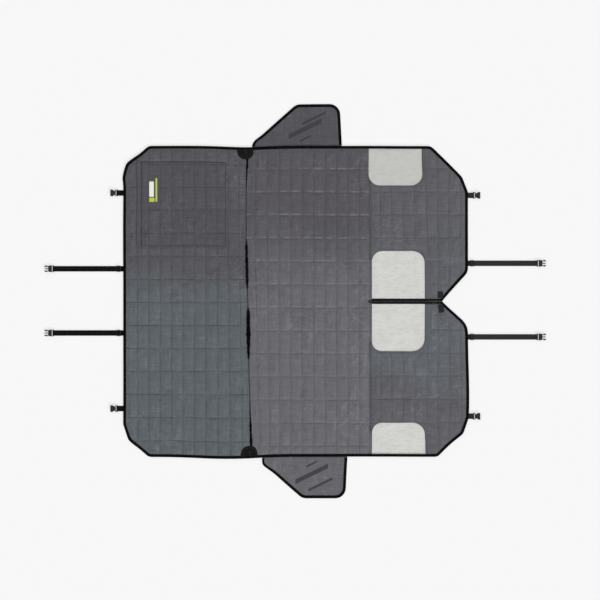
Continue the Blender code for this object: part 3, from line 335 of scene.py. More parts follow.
def quilted_cloth(name, start, tones, lit_fold_strength=0.0, change=LONG_CHANGE, turns_back=0.0, seam_lines=()):
    """Oxford cloth with the stitched lines of a quilting grid and a turned and stitched edge, with painted
    shade along the lines and the turned edge, and painted highlights on folds.
    """
    cloth = Finish(name, tones[0], CLOTH_ROUGHNESS)
    from_edge = cloth.attribute("from_edge")
    edge_line = cloth.smooth((from_edge - EDGE_STITCH).math("ABSOLUTE"), *EDGE_LINE)
    edge_dash = cloth.attribute("along_edge").math("PINGPONG", THREAD_LENGTH / 2)
    # Painted shade: the holes of the edge stitch row are darker.
    edge_hole_shade = edge_line * (1 - cloth.smooth(edge_dash, *THREAD_GAP))
    cut_x = cloth.attribute("cut_x")
    cut_y = cloth.attribute("cut_y")
    across = (cut_x - start[0]).math("PINGPONG", QUILT_PITCH[0] / 2)
    along = (cut_y - start[1]).math("PINGPONG", QUILT_PITCH[1] / 2)
    line_x = cloth.smooth(across, *LINE_EDGE)
    line_y = cloth.smooth(along, *LINE_EDGE)
    thread_x = cloth.smooth(cut_y.math("PINGPONG", THREAD_LENGTH / 2), *THREAD_GAP)
    thread_y = cloth.smooth(cut_x.math("PINGPONG", THREAD_LENGTH / 2), *THREAD_GAP)
    # Painted shade: the quilting lines are darker in their grooves, and darker still in the stitch holes
    # between the thread dashes.
    stitch_hole_shade = (line_x * (1 - thread_x)).math("MAXIMUM", line_y * (1 - thread_y))
    thread = (line_x * thread_x).math("MAXIMUM", line_y * thread_y)
    groove_shade_x = cloth.smooth(across, *GROOVE_SHADE_EDGE) * 0.65
    groove_shade = groove_shade_x.math("MAXIMUM", cloth.smooth(along, *GROOVE_SHADE_EDGE))
    uneven = cloth.smooth(cloth.noise(13, 3), 0.34, 0.62) * 0.7 + 0.3
    depth = LINE_SHADE_BY_LIT_FOLDS if lit_fold_strength else LINE_SHADE
    shade = (groove_shade * depth + stitch_hole_shade * 0.5) * uneven
    # Painted shade: a dark band along the edge, where the cloth turns under.
    turned_edge_shade = cloth.smooth(from_edge, *TURNED_EDGE_SHADE)
    shade = shade.math("MAXIMUM", turned_edge_shade * 0.8 + edge_hole_shade * 0.5)
    for seam_x in seam_lines:
        seam = stitched_line(cloth, cut_x, seam_x, SEAM_HALF_WIDTH)
        shade = shade.math("MAXIMUM", seam * 0.75)
    colour = oxford_colour(cloth, shade, tones, change, turns_back)
    # Painted highlight: a light line just above each quilting line across the cloth, as on a fold that
    # catches the lamp.
    above_line = (cut_y - start[1]).math("FLOORED_MODULO", QUILT_PITCH[1])
    lit_fold = stitched_line(cloth, above_line, *LIT_FOLD_ABOVE_LINE)
    lit_fold = lit_fold * cloth.smooth(cloth.noise(24, 3), 0.36, 0.62)
    lit_fold = lit_fold * (cloth.smooth(across, 0.002, 0.014) * 0.6 + 0.4)
    lit_fold = lit_fold * (cloth.smooth(cut_y, -0.45, 0.10) * 0.65 + 0.35)
    cloth.colour(cloth.mix(lit_fold * lit_fold_strength, colour, shaded(tones[1], LIT_FOLD)))
    ripple = cloth.noise(150, 3) * 0.0006 + cloth.creases() * 0.0012
    turned = cloth.smooth(from_edge, 0.0, 0.0045) * 0.0006 - edge_line * 0.0004
    cloth.bump(cloth.weave(WEAVE_PITCH, WEAVE_DEPTH) + thread * 0.0003 + ripple + turned)
    return cloth


def sewn_outline(node, wall_height):
    """The corners, in order, of a CAD panel's cut edge: where its upright walls stand."""
    shape = bmesh.new()
    shape.from_mesh(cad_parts[node].data)
    bmesh.ops.remove_doubles(shape, verts=shape.verts, dist=WELD_DISTANCE)
    beside = {}
    for face in shape.faces:
        heights = [vert.co.z for vert in face.verts]
        if abs(face.normal.z) < 0.3 and max(heights) - min(heights) > wall_height * 0.9:
            corners = sorted({(round(vert.co.x, 5), round(vert.co.y, 5)) for vert in face.verts})
            for first, second in zip(corners, corners[1:]):
                beside.setdefault(first, set()).add(second)
                beside.setdefault(second, set()).add(first)
    shape.free()
    passed = [min(beside)]
    ahead = beside[passed[0]]
    while ahead:
        passed.append(min(ahead, key=lambda corner: math.dist(corner, passed[-1])))
        ahead = beside[passed[-1]].difference(passed)
    return np.array(passed)


def turn_at(before, corner, after):
    """The signed angle by which an outline turns at a corner."""
    a = corner - before
    b = after - corner
    return math.atan2(a[0] * b[1] - a[1] * b[0], a @ b)


def rounded_arcs(outline):
    """The outline with one more point on each arc, so that no facet of it shows."""
    count = len(outline)
    turns = [turn_at(outline[i - 1], outline[i], outline[(i + 1) % count]) for i in range(count)]
    points = []
    for i in range(count):
        j = (i + 1) % count
        points.append(outline[i])
        on_arc = turns[i] * turns[j] > 0 and max(abs(turns[i]), abs(turns[j])) < ARC_TURN_LIMIT
        chord = outline[j] - outline[i]
        if on_arc and 0.004 < np.hypot(*chord) < ARC_CHORD_LIMIT:
            bulge = math.tan((turns[i] + turns[j]) / 8) / 2
            points.append((outline[i] + outline[j]) / 2 + bulge * np.array((chord[1], -chord[0])))
    return np.array(points)


def edge_place(points, outline):
    """How far each point is from the outline, and how far along the outline it is nearest."""
    nearest = np.full(len(points), 9.0)
    travelled = np.zeros(len(points))
    start = 0.0
    for a, b in zip(outline, np.roll(outline, -1, 0)):
        share = np.clip(((points - a) @ (b - a)) / ((b - a) @ (b - a)), 0, 1)
        gap = np.linalg.norm(points - a - share[:, None] * (b - a), axis=1)
        length = np.hypot(*(b - a))
        travelled = np.where(gap < nearest, start + share * length, travelled)
        nearest = np.minimum(nearest, gap)
        start += length
    return nearest, travelled


def keep_places(mesh, values_by_name):
    """Stores numbers on a mesh's points, for its finish."""
    for name, values in values_by_name.items():
        attribute = mesh.attributes.new(name, "FLOAT", "POINT")
        attribute.data.foreach_set("value", np.ascontiguousarray(values, dtype=np.float32))


def ramp(value, low, high):
    """0 below low and 1 above high, with a soft change between them, for arrays."""
    share = np.clip((value - low) / (high - low), 0, 1)
    return share * share * (3 - 2 * share)


def cut_in_grid(shape, faces, axis, places):
    """Cuts flat faces at each place along an axis, from the middle place outwards."""
    if not places or not faces:
        return
    middle = len(places) // 2
    at = Vector((0, 0, 0))
    at[axis] = places[middle]
    normal = Vector((0, 0, 0))
    normal[axis] = 1
    edges = {edge for face in faces for edge in face.edges}
    verts = {vert for face in faces for vert in face.verts}
    cut = bmesh.ops.bisect_plane(
        shape, geom=[*faces, *edges, *verts], dist=0.00001, plane_co=at, plane_no=normal
    )
    made = [item for item in cut["geom"] if isinstance(item, bmesh.types.BMFace)]
    near = [face for face in made if face.calc_center_median()[axis] < places[middle]]
    far = [face for face in made if face.calc_center_median()[axis] >= places[middle]]
    cut_in_grid(shape, near, axis, places[:middle])
    cut_in_grid(shape, far, axis, places[middle + 1 :])


def grid_places(low, high, start, step):
    """The places on a grid through start that lie between low and high."""
    first = math.ceil((low - start) / step)
    last = math.floor((high - start) / step)
    return [start + k * step for k in range(first, last + 1)]


def cell_share(distance, pitch, shoulder):
    """0 on a stitched line and nearly 1 in the middle of a cell."""
    full = 1 - math.exp(-pitch / 2 / shoulder)
    return (1 - np.exp(-distance / shoulder)) / full


def line_distance(place, start, pitch):
    """How far each place is from the nearest stitched line."""
    return np.abs((place - start + pitch / 2) % pitch - pitch / 2)


def noise_at(points, scale, seed, stretch=(1, 1)):
    """Smooth noise from about -1 to 1 at each point, alike on every run."""
    places = [
        Vector((x * scale * stretch[0], y * scale * stretch[1], seed)) for x, y in points
    ]
    return np.array([noise.noise(place) for place in places])


def mound(points, middle, reach):
    """1 at a middle place, fading to 0 around it over about its reach."""
    return np.exp(-(((points - middle) / reach) ** 2).sum(1))


# How the cloth lies in the picture. Rows down the seam give the half width that it was cut with,
# and then its drift along X and the half width that it lies open by. Each pull is a middle, a
# reach along X and Y, and an amount.
DRIFT = (0.0022, 0.0024)
DRIFT_SCALE = 3.1
SEAM_X = -0.218
SEAM_REACH = 0.11
SEAM_EASE = 0.020
SEAM_CUT = ((0.033, 0.003), (0.048, 0.009), (0.278, 0.009), (0.293, 0.003), (0.690, 0.003), (0.697, 0.0003))
SEAM_LIE = (
    (-0.72, 0.018, 0.00003), (-0.695, 0.0175, 0.00003), (-0.66, 0.0165, 0.0058),
    (-0.61, 0.0145, 0.0050), (-0.55, 0.0122, 0.0032), (-0.5, 0.0105, 0.0014),
    (-0.44, 0.0095, 0.0002), (-0.27, 0.005, 0.0002), (-0.25, 0.0045, 0.0040),
    (-0.15, 0.0035, 0.0086), (-0.06, 0.0025, 0.0066), (-0.02, 0.001, 0.0004),
    (0.05, -0.0015, 0.0002), (0.08, -0.0025, 0.0042), (0.16, -0.004, 0.0066),
    (0.25, -0.005, 0.0048), (0.285, -0.0055, 0.0003), (0.5, -0.006, 0.0002),
    (0.56, -0.0055, 0.0016), (0.62, -0.003, 0.0036), (0.66, -0.002, 0.0040),
    (0.695, -0.0015, 0.00003), (0.72, -0.001, 0.00003),
)
PULLS_X = (
    ((-0.775, 0.605), (0.045, 0.050), -0.0100),
    ((0.590, 0.0), (0.070, 0.40), 0.0095),
    ((0.590, 0.68), (0.070, 0.14), -0.0050),
    ((0.590, -0.68), (0.070, 0.14), 0.0110),
    ((0.338, 0.0), (0.060, 9.0), 0.0034),
    ((0.800, 0.0), (0.080, 9.0), 0.0030),
    ((0.790, -0.440), (0.12, 0.16), 0.0060),
    ((-0.135, -0.740), (0.045, 0.035), -0.0130),
    ((-0.175, 0.722), (0.050, 0.026), -0.0130),
)
PULLS_Y = (
    ((-0.215, 0.72), (0.13, 0.20), -0.0055),
    ((-0.330, -0.74), (0.20, 0.25), -0.0105),
    ((-0.757, 0.645), (0.045, 0.050), 0.0085),
    ((-0.757, -0.640), (0.045, 0.050), -0.0070),
    ((0.470, -0.555), (0.20, 0.06), -0.0085),
    ((0.715, -0.650), (0.080, 0.080), 0.0035),
)


def lie_of_cloth(points):
    """How far the cloth lies from its cut place: slow drifts, local pulls, and a closed seam."""
    calm = ramp(np.abs(points[:, 1]), 0.03, 0.30)
    lie_x = noise_at(points, DRIFT_SCALE, 3.1) * DRIFT[0] * calm
    lie_y = noise_at(points, DRIFT_SCALE, 8.7) * DRIFT[1] * calm
    for middle, reach, amount in PULLS_X:
        lie_x = lie_x + mound(points, middle, reach) * amount
    for middle, reach, amount in PULLS_Y:
        lie_y = lie_y + mound(points, middle, reach) * amount
    beside = points[:, 0] - SEAM_X
    row_y, row_drift, row_half = zip(*SEAM_LIE)
    seam_drift = np.interp(points[:, 1], row_y, row_drift)
    lie_x = lie_x + seam_drift * np.exp(-((beside / SEAM_REACH) ** 2))
    cut_half = np.interp(np.abs(points[:, 1]), *zip(*SEAM_CUT))
    lie_half = np.interp(points[:, 1], row_y, row_half)
    lie_half = lie_half * (1 + 0.55 * noise_at(points, 70, 4.3, (0.4, 1)))
    closing = (cut_half - lie_half) * np.minimum(np.abs(beside) / cut_half, 1)
    closing = closing * np.exp(-np.maximum(np.abs(beside) - cut_half, 0) / SEAM_EASE)
    return np.stack([lie_x - np.sign(beside) * closing, lie_y], axis=1)


def sewn_wrinkles(points, edge, seed):
    """Folds in the cloth: slow swells, and slanting creases that start from corners and seams."""
    x, y = points[:, 0], points[:, 1]
    swell = noise_at(points, 7, seed) * SWELL_HEIGHT
    slanting = np.stack([x + y, x - y], axis=1)
    crease = noise_at(slanting, 11, seed + 4, (3.4, 0.7)) - noise_at(slanting, 11, seed + 9, (0.7, 3.4))
    where = ramp(noise_at(points, 3.4, seed + 2), 0.0, 0.55) * 0.6 + np.exp(-edge / 0.06) * 0.55
    return swell + crease * WRINKLE_HEIGHT * (where + 0.12)


def finished_piece(name, shape):
    """The object of a finished mesh, smooth all over."""
    mesh = bpy.data.meshes.new(name)
    shape.to_mesh(mesh)
    shape.free()
    mesh.polygons.foreach_set("use_smooth", [True] * len(mesh.polygons))
    item = bpy.data.objects.new(name, mesh)
    bpy.context.scene.collection.objects.link(item)
    return item


def fit(item, node, finish):
    """Gives a finished piece its material, and the CAD piece's place on the body root."""
    item.data.materials.append(finish.material)
    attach(item, "root")
    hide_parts(node)


def padded_piece(name, outline, start, held_flat, margin, levels, under_ramp, seed):
    """A closed quilted pad: a fine grid cut to the outline, with its cells raised in rows."""
    bottom, top, rise = levels
    shape = bmesh.new()
    shape.faces.new([shape.verts.new((*point, 0)) for point in outline])
    low, high = outline.min(0), outline.max(0)
    for axis in (0, 1):
        step = QUILT_PITCH[axis] / CELLS_PER_PITCH[axis]
        places = grid_places(low[axis] + 0.0004, high[axis] - 0.0004, start[axis], step)
        cut_in_grid(shape, shape.faces[:], axis, places)
    lower = shape.verts[:]
    made = bmesh.ops.extrude_face_region(shape, geom=shape.faces[:], use_keep_orig=True)
    upper = [item for item in made["geom"] if isinstance(item, bmesh.types.BMVert)]

    points = np.array([vert.co.xy for vert in upper])
    edge, travelled = edge_place(points, outline)
    across = line_distance(points[:, 0], start[0], QUILT_PITCH[0])
    along = line_distance(points[:, 1], start[1], QUILT_PITCH[1])
    free = ramp(edge, margin, margin + QUILT_EDGE_RAMP)
    for x_low, x_high, y_low, y_high in held_flat:
        out_x = np.maximum(x_low - points[:, 0], points[:, 0] - x_high)
        out_y = np.maximum(y_low - points[:, 1], points[:, 1] - y_high)
        free = free * ramp(np.maximum(out_x, out_y), 0.0, HELD_FLAT_RAMP)
    cells = cell_share(across, QUILT_PITCH[0], QUILT_SHOULDER)
    cells = cells * cell_share(along, QUILT_PITCH[1], QUILT_SHOULDER * 1.3)
    plump = 1 + PLUMP_CHANGE * noise_at(points, 14, seed + 5)
    pucker_x = noise_at(points, 60, seed + 6, (0.5, 2.2)) * np.exp(-across / 0.011)
    pucker_y = noise_at(points, 60, seed + 7, (2.2, 0.5)) * np.exp(-along / 0.014)
    height = rise * cells * plump + (pucker_x + pucker_y) * PUCKER_HEIGHT
    height = height + sewn_wrinkles(points, edge, seed)
    upper_z = top + np.maximum(height, -DEEPEST_DIP) * free

    points_below = np.array([vert.co.xy for vert in lower])
    edge_below, travelled_below = edge_place(points_below, outline)
    sag = np.clip((edge_below - margin) / UNDERSIDE_RAMP, 0, 1)
    lower_z = bottom - under_ramp * sag

    for verts, places, heights in ((upper, points, upper_z), (lower, points_below, lower_z)):
        for vert, (x, y), z in zip(verts, places + lie_of_cloth(places), heights):
            vert.co = (x, y, z)
    bmesh.ops.recalc_face_normals(shape, faces=shape.faces[:])
    shape.verts.index_update()
    order = [vert.index for vert in upper + lower]
    stored = np.empty((len(order), 4))
    stored[order, 0] = np.concatenate([edge, edge_below])
    stored[order, 1] = np.concatenate([travelled, travelled_below])
    stored[order, 2:] = np.concatenate([points, points_below])
    item = finished_piece(name, shape)
    keep_places(item.data, dict(zip(("from_edge", "along_edge", "cut_x", "cut_y"), stored.T)))
    return item


# Places where a pad is held flat, as x and y ranges: under the pocket, the corner patches, the
# webbing tabs and the zip's pull.
POCKET_FLAT = (-0.7275, -0.3135, 0.2515, 0.6395)
PATCH_LEFT_FLAT = (-0.268, -0.184, 0.653, 0.72)
PATCH_RIGHT_FLAT = (-0.268, -0.184, -0.72, -0.653)
TAB_LEFT_FLAT = (0.640, 0.684, 0.000, 0.0475)
TAB_RIGHT_FLAT = (0.640, 0.684, -0.057, 0.000)
ZIP_PULL_FLAT = (0.312, 0.352, -0.007, 0.007)
PATCHES_FLAT = [PATCH_LEFT_FLAT, PATCH_RIGHT_FLAT]
SEAT_SEAM_X = 0.3381
FRONT_SEAM_X = 0.3465
# The seat and the front cloth get painted highlights on their folds, 0.42 and 0.15 strong.
BACK_CLOTH = quilted_cloth("back_quilting", BACK_QUILT_START, BACK_TONES, change=SHORT_CHANGE)
SEAT_CLOTH = quilted_cloth("seat_quilting", SEAT_QUILT_START, SEAT_TONES, 0.42, seam_lines=[SEAT_SEAM_X])
FRONT_CLOTH = quilted_cloth(
    "front_quilting", FRONT_QUILT_START, FRONT_TONES, 0.15, turns_back=0.9, seam_lines=[FRONT_SEAM_X]
)
QUILTED_PANELS = (
    ("back_panel", BACK_CLOTH, BACK_QUILT_START, [POCKET_FLAT, *PATCHES_FLAT], 1.3),
    ("seat_panel", SEAT_CLOTH, SEAT_QUILT_START, [*PATCHES_FLAT, ZIP_PULL_FLAT], 21.7),
    ("front_panel_left", FRONT_CLOTH, FRONT_QUILT_START, [TAB_LEFT_FLAT], 42.9),
    ("front_panel_right", FRONT_CLOTH, FRONT_QUILT_START, [TAB_RIGHT_FLAT], 63.4),
)

# Lips of the seat panel that end three of the windows. The inner one is notched for the zip.
SEAT_FRONT_X = 0.3000
SEAT_EDGE_X = 0.3378
SEAT_END_Y = -0.7100
SEAT_LIP_X = 0.3470
LIP_END_Y = 0.1880
OUTER_LIP_END_Y = 0.5890
ZIP_NOTCH_X = 0.3320
ZIP_NOTCH_Y = 0.0058
CORNER_START_X = 0.3382
CORNER_SEAM_END_X = 0.3390
CORNER_MIDDLE_X = 0.3950
CORNER_RADIUS = 0.048
CORNER_SINK = 0.006
CORNER_END_X = 0.3871
CORNER_RISE = 0.0421
CORNER_RISE_ON_SEAM = 0.0130


def replace_run(places, chosen, made):
    """Puts other corners in an outline in place of a run of chosen ones, whichever way it goes."""
    run = [number for number, place in enumerate(places) if chosen(*place)]
    before = places[run[0] - 1]
    if math.dist(before, made[0]) > math.dist(before, made[-1]):
        made = made[::-1]
    places[run[0] : run[-1] + 1] = made


def in_corner(x, y, start_y):
    """Whether a point of the CAD's cut edge belongs to the window corner that starts at start_y."""
    rise = CORNER_RISE_ON_SEAM if x < CORNER_SEAM_END_X else CORNER_RISE
    return x < CORNER_END_X and 0 < y - start_y < rise


def turned_corner(start_y, away):
    """A window's rounded corner by the seat, from the seam out to the window's long edge."""
    made = [(CORNER_START_X, start_y + away * 0.0004)]
    for degrees in (8, 20, 34, 48, 62, 76, 90):
        angle = math.radians(degrees)
        across = CORNER_MIDDLE_X - CORNER_RADIUS * math.cos(angle)
        made.append((across, start_y + away * (CORNER_RADIUS * math.sin(angle) - CORNER_SINK)))
    return made


def panel_outline(node):
    """A panel's cut edge, with the seat's lips, and the window corners turned to meet them."""
    outline = sewn_outline(node, MARGIN_TOP_Z - MARGIN_BOTTOM_Z)
    places = [(float(x), float(y)) for x, y in outline]
    if node == "seat_panel":
        half_lip = [
            (ZIP_NOTCH_X, ZIP_NOTCH_Y), (SEAT_LIP_X, ZIP_NOTCH_Y),
            (SEAT_LIP_X, LIP_END_Y), (SEAT_EDGE_X, LIP_END_Y),
        ]
        inner_lip = [(x, -y) for x, y in reversed(half_lip)] + half_lip
        outer_lip = [
            (SEAT_EDGE_X, -OUTER_LIP_END_Y), (SEAT_LIP_X, -OUTER_LIP_END_Y), (SEAT_LIP_X, SEAT_END_Y),
        ]
        replace_run(places, lambda x, y: x > SEAT_FRONT_X and abs(y) < 0.195, inner_lip)
        replace_run(places, lambda x, y: x > SEAT_FRONT_X and y < -0.575, outer_lip)
    if node.startswith("front_panel"):
        far = places.index(max(places))
        places = places[far:] + places[:far]
        side = -1 if node.endswith("right") else 1
        inner = turned_corner(side * LIP_END_Y, side)
        replace_run(places, lambda x, y: in_corner(x, abs(y), LIP_END_Y), inner)
    if node == "front_panel_right":
        outer = turned_corner(-OUTER_LIP_END_Y, 1)
        replace_run(places, lambda x, y: in_corner(x, y, -OUTER_LIP_END_Y), outer)
    return np.array(places)


for node, cloth, start, held_flat, seed in QUILTED_PANELS:
    outline = rounded_arcs(panel_outline(node))
    pad = padded_piece(
        f"quilted_{node}", outline, start, held_flat, FLAT_MARGIN,
        (MARGIN_BOTTOM_Z, MARGIN_TOP_Z, QUILT_RISE), MARGIN_BOTTOM_Z, seed,
    )
    fit(pad, node, cloth)


# The pocket on the back panel: one more piece of the quilted cloth, sewn down on three sides,
# with a folded hem along its mouth. A small rubber badge is sewn on by the hem; its face carries
# only plain raised bars, white and lime, in place of any lettering.
POCKET_BOTTOM_Z = 0.0055
POCKET_MARGIN_TOP_Z = 0.0070
POCKET_RISE = 0.0030
POCKET_MARGIN = 0.004
BADGE_FLAT = (-0.679, -0.625, 0.429, 0.575)
BADGE_GREY = (0.062, 0.062, 0.068)
BADGE_WHITE = (0.80, 0.80, 0.80)
BADGE_LIME = (0.50, 0.56, 0.06)
BADGE_BAR_ROUNDING = 0.0035
BADGE_BAR_HEIGHT = 0.0005
WHITE_BAR = (-0.6680, -0.6470, 0.4780, 0.5480)
LIME_BLOCK = (-0.6680, -0.6440, 0.4550, 0.4740)
LIME_BAR = (-0.6395, -0.6315, 0.4550, 0.5640)
HEM_STITCH_X = (-0.7225, -0.7075)
HEM_STITCH_HALF_WIDTH = 0.0012


def soft_copy(node, name, step, bevel=0.0, billow=0.0, seed=0.0, laid=1.0):
    """A cloth or tape piece from its CAD solid: edges rounded, cut finely, and laid like the rest.

    With laid=0 it keeps the CAD's place, as the straps do."""
    shape = bmesh.new()
    shape.from_mesh(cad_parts[node].data)
    bmesh.ops.remove_doubles(shape, verts=shape.verts, dist=WELD_DISTANCE)
    bmesh.ops.dissolve_limit(
        shape, angle_limit=math.radians(1), verts=shape.verts, edges=shape.edges
    )
    if bevel:
        sharp = [edge for edge in shape.edges if edge.calc_face_angle(0) > SHARP_TURN]
        bmesh.ops.bevel(
            shape, geom=sharp, offset=bevel, segments=2, profile=0.5, affect="EDGES",
            clamp_overlap=True,
        )
    places = np.array([vert.co for vert in shape.verts])
    for axis in (0, 1):
        low, high = places[:, axis].min(), places[:, axis].max()
        cut_in_grid(shape, shape.faces[:], axis, grid_places(low + step / 3, high - step / 3, 0, step))
    points = np.array([vert.co.xy for vert in shape.verts])
    lift = noise_at(points, 22, seed) * billow
    for vert, (x, y), z in zip(shape.verts, points + lie_of_cloth(points) * laid, lift):
        vert.co = (x, y, vert.co.z + z)
    bmesh.ops.recalc_face_normals(shape, faces=shape.faces[:])
    item = finished_piece(name, shape)
    item.data.set_sharp_from_angle(angle=SHARP_TURN)
    keep_places(item.data, {"cut_x": points[:, 0], "cut_y": points[:, 1]})
    return item


low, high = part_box("pocket_panel")
pocket_outline = np.array([(low.x, low.y), (high.x, low.y), (high.x, high.y), (low.x, high.y)])
pocket_cloth = quilted_cloth("pocket_quilting", BACK_QUILT_START, POCKET_TONES)
pocket = padded_piece(
    "quilted_pocket", pocket_outline, BACK_QUILT_START, [BADGE_FLAT], POCKET_MARGIN,
    (POCKET_BOTTOM_Z, POCKET_MARGIN_TOP_Z, POCKET_RISE), 0.0, 84.5,
)
fit(pocket, "pocket_panel", pocket_cloth)

hem_cloth = Finish("hem_cloth", POCKET_TONES[0], CLOTH_ROUGHNESS)
hem_dash = hem_cloth.y.math("PINGPONG", THREAD_LENGTH / 2)
hem_lines = 0.0
for stitch_x in HEM_STITCH_X:
    hem_line = stitched_line(hem_cloth, hem_cloth.attribute("cut_x"), stitch_x, HEM_STITCH_HALF_WIDTH)
    hem_lines = hem_line + hem_lines
# Painted shade: the sunk stitch rows of the hem are darker, and their holes darker still.
hem_hole_shade = hem_lines * (1 - hem_cloth.smooth(hem_dash, *THREAD_GAP))
hem_cloth.colour(oxford_colour(hem_cloth, hem_lines * 0.3 + hem_hole_shade * 0.5, POCKET_TONES))
hem_cloth.bump(hem_cloth.weave(WEAVE_PITCH, WEAVE_DEPTH) - hem_lines * 0.0005)
hem = soft_copy("pocket_hem", "folded_pocket_hem", step=0.012, bevel=0.0007, billow=0.0003, seed=5.5)
fit(hem, "pocket_hem", hem_cloth)


def rounded_bar(finish, edges, rounding):
    """1 inside a bar with rounded corners, and 0 outside it."""
    squares = 0.0
    for place, low, high in ((finish.x, *edges[:2]), (finish.y, *edges[2:])):
        out = (place - (low + high) / 2).math("ABSOLUTE") - ((high - low) / 2 - rounding)
        out = out.math("MAXIMUM", 0.0)
        squares = out * out + squares
    return finish.smooth(squares.math("SQRT"), rounding + 0.0003, rounding - 0.0003)


def dress_cad(node, finish):
    """Gives a piece that is shown as the CAD made it its finish."""
    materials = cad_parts[node].data.materials
    materials.clear()
    materials.append(finish.material)


badge_rubber = Finish("badge_rubber", BADGE_GREY, 0.55, specular=0.3)
white_bar = rounded_bar(badge_rubber, WHITE_BAR, BADGE_BAR_ROUNDING)
lime_bars = rounded_bar(badge_rubber, LIME_BLOCK, BADGE_BAR_ROUNDING)
lime_bars = lime_bars.math("MAXIMUM", rounded_bar(badge_rubber, LIME_BAR, BADGE_BAR_ROUNDING))
badge_speck = badge_rubber.noise(260, 2)
badge_colour = badge_rubber.mix(badge_speck, BADGE_GREY, shaded(BADGE_GREY, 1.3))
badge_colour = badge_rubber.mix(white_bar, badge_colour, BADGE_WHITE)
badge_rubber.colour(badge_rubber.mix(lime_bars, badge_colour, BADGE_LIME))
badge_rubber.bump((white_bar + lime_bars) * BADGE_BAR_HEIGHT + badge_speck * 0.00006)
dress_cad("pocket_badge", badge_rubber)


# The four windows: pale warp-knit air mesh, cut a little larger than the openings and sewn under the
# panels' edges. The knit is a staggered net of small round holes, painted dark inside as painted shade, and
# it lies in soft folds, with painted shade in cloudy patches as in the folds and towards the top of the
# upper window.
MESH_PALE = (0.790, 0.790, 0.765)
MESH_SHADED = (0.640, 0.645, 0.615)
SHADED_HOLE_GREY = (0.40, 0.40, 0.39)
HOLE_PITCH = 0.0034
HOLE_DEPTH = 0.0004
WINDOWS = ("outer_window_left", "inner_window_left", "inner_window_right", "outer_window_right")
SHEET_STEP = 0.009

air_mesh = Finish("air_mesh", MESH_PALE, 0.7)
wave_x = (air_mesh.x * (2 * math.pi / HOLE_PITCH)).math("COSINE")
wave_y = (air_mesh.y * (2 * math.pi / HOLE_PITCH)).math("COSINE")
holes = air_mesh.smooth((wave_x + wave_y).math("ABSOLUTE"), 1.05, 1.55)
# Painted shade: towards the top of the upper window, and in cloudy patches.
knit_shade_above = air_mesh.smooth(air_mesh.y + air_mesh.noise(7, 3) * 0.15, 0.48, 0.62)
knit_fold_shade = air_mesh.smooth(air_mesh.noise(10, 3), 0.42, 0.66) * 0.24
knit = air_mesh.mix(knit_shade_above.math("MAXIMUM", knit_fold_shade), MESH_PALE, MESH_SHADED)
knit_rows = air_mesh.smooth(air_mesh.noise(90, 2, (0.35, 1, 1)), 0.40, 0.85)
knit = air_mesh.mix(knit_rows * 0.32, knit, SHADED_HOLE_GREY)
air_mesh.colour(air_mesh.mix(holes * 0.8, knit, SHADED_HOLE_GREY))
knit_folds = air_mesh.noise(13, 3) * 0.005
air_mesh.bump(holes * -HOLE_DEPTH + air_mesh.noise(180, 2) * 0.0002 + knit_folds)


for node in WINDOWS:
    window = soft_copy(node, f"mesh_{node}", SHEET_STEP)
    fit(window, node, air_mesh)


# The two side flaps: one layer of the same grey oxford cloth, sewn under the seat's edges. They
# carry a print of plain slanting bars, a broad one and a thinner one, with upright ends.
FLAP_THICKNESS = 0.0012
FLAP_TONES = ((0.088, 0.086, 0.095), (0.132, 0.132, 0.146))
PRINT_GREY = (0.049, 0.050, 0.056)
BAR_SLOPE = math.tan(math.radians(26))
BAR_EDGE = 0.0006
BAR_SHIFTS = ((-1, 0.030), (1, 0.0))
FLAP_BARS = (
    (0.045, 0.790, 0.150, 0.022),
    (0.085, 0.838, 0.110, 0.012),
    (0.045, 0.745, 0.050, 0.010),
)
SIDES = ("left", "right")

flap_cloth = Finish("flap_cloth", FLAP_TONES[0], CLOTH_ROUGHNESS)
bars = 0.0
for side, shift in BAR_SHIFTS:
    for middle_x, reach, length, width in FLAP_BARS:
        over = flap_cloth.x - (middle_x + shift)
        slant = flap_cloth.y - side * reach - over * BAR_SLOPE
        inside = flap_cloth.smooth(slant.math("ABSOLUTE"), width / 2 + BAR_EDGE, width / 2 - BAR_EDGE)
        ends = flap_cloth.smooth(over.math("ABSOLUTE"), length / 2 + BAR_EDGE, length / 2 - BAR_EDGE)
        bars = inside * ends + bars
# As on the panels, painted light makes the lower flap lighter than the upper one, and painted shade darkens
# its creases.
flap_base = oxford_colour(flap_cloth, 0.0, FLAP_TONES)
print_wear = 0.86 + flap_cloth.smooth(flap_cloth.noise(120, 3), 0.35, 0.65) * 0.1
flap_cloth.colour(flap_cloth.mix(bars.math("MINIMUM", 1.0) * print_wear, flap_base, PRINT_GREY))
flap_cloth.bump(flap_cloth.weave(WEAVE_PITCH, 0.00018) + flap_cloth.noise(60, 3) * 0.0008)

for side in SIDES:
    flap = soft_copy(f"side_flap_{side}", f"cloth_side_flap_{side}", SHEET_STEP)
    fit(flap, f"side_flap_{side}", flap_cloth)


# The binding: black polyester grosgrain tape, folded over the cut edges of the panels and flaps
# and sewn through both legs with one row of stitches near the tape's inner edge.
TAPE_BLACK = (0.0024, 0.0024, 0.0027)
TAPE_WORN = (0.0062, 0.0062, 0.0067)
TAPE_THREAD = (0.0120, 0.0120, 0.0128)
TAPE_SPECULAR = 0.035
TAPE_RIB_PITCH = 0.0014
TAPE_RIB_DEPTH = 0.00012
TAPE_STITCH = 0.0090
TAPE_BEVEL = 0.00032
TAPE_BILLOW = 0.0003
TAPE_STEP = 0.010
BINDINGS = (
    ("back_binding", ["back_panel"], 11.5),
    ("front_binding_left", ["seat_panel", "front_panel_left"], 12.5),
    ("front_binding_right", ["seat_panel", "front_panel_right"], 13.5),
    ("flap_binding_left", ["side_flap_left"], 15.5),
    ("flap_binding_right", ["side_flap_right"], 16.5),
)


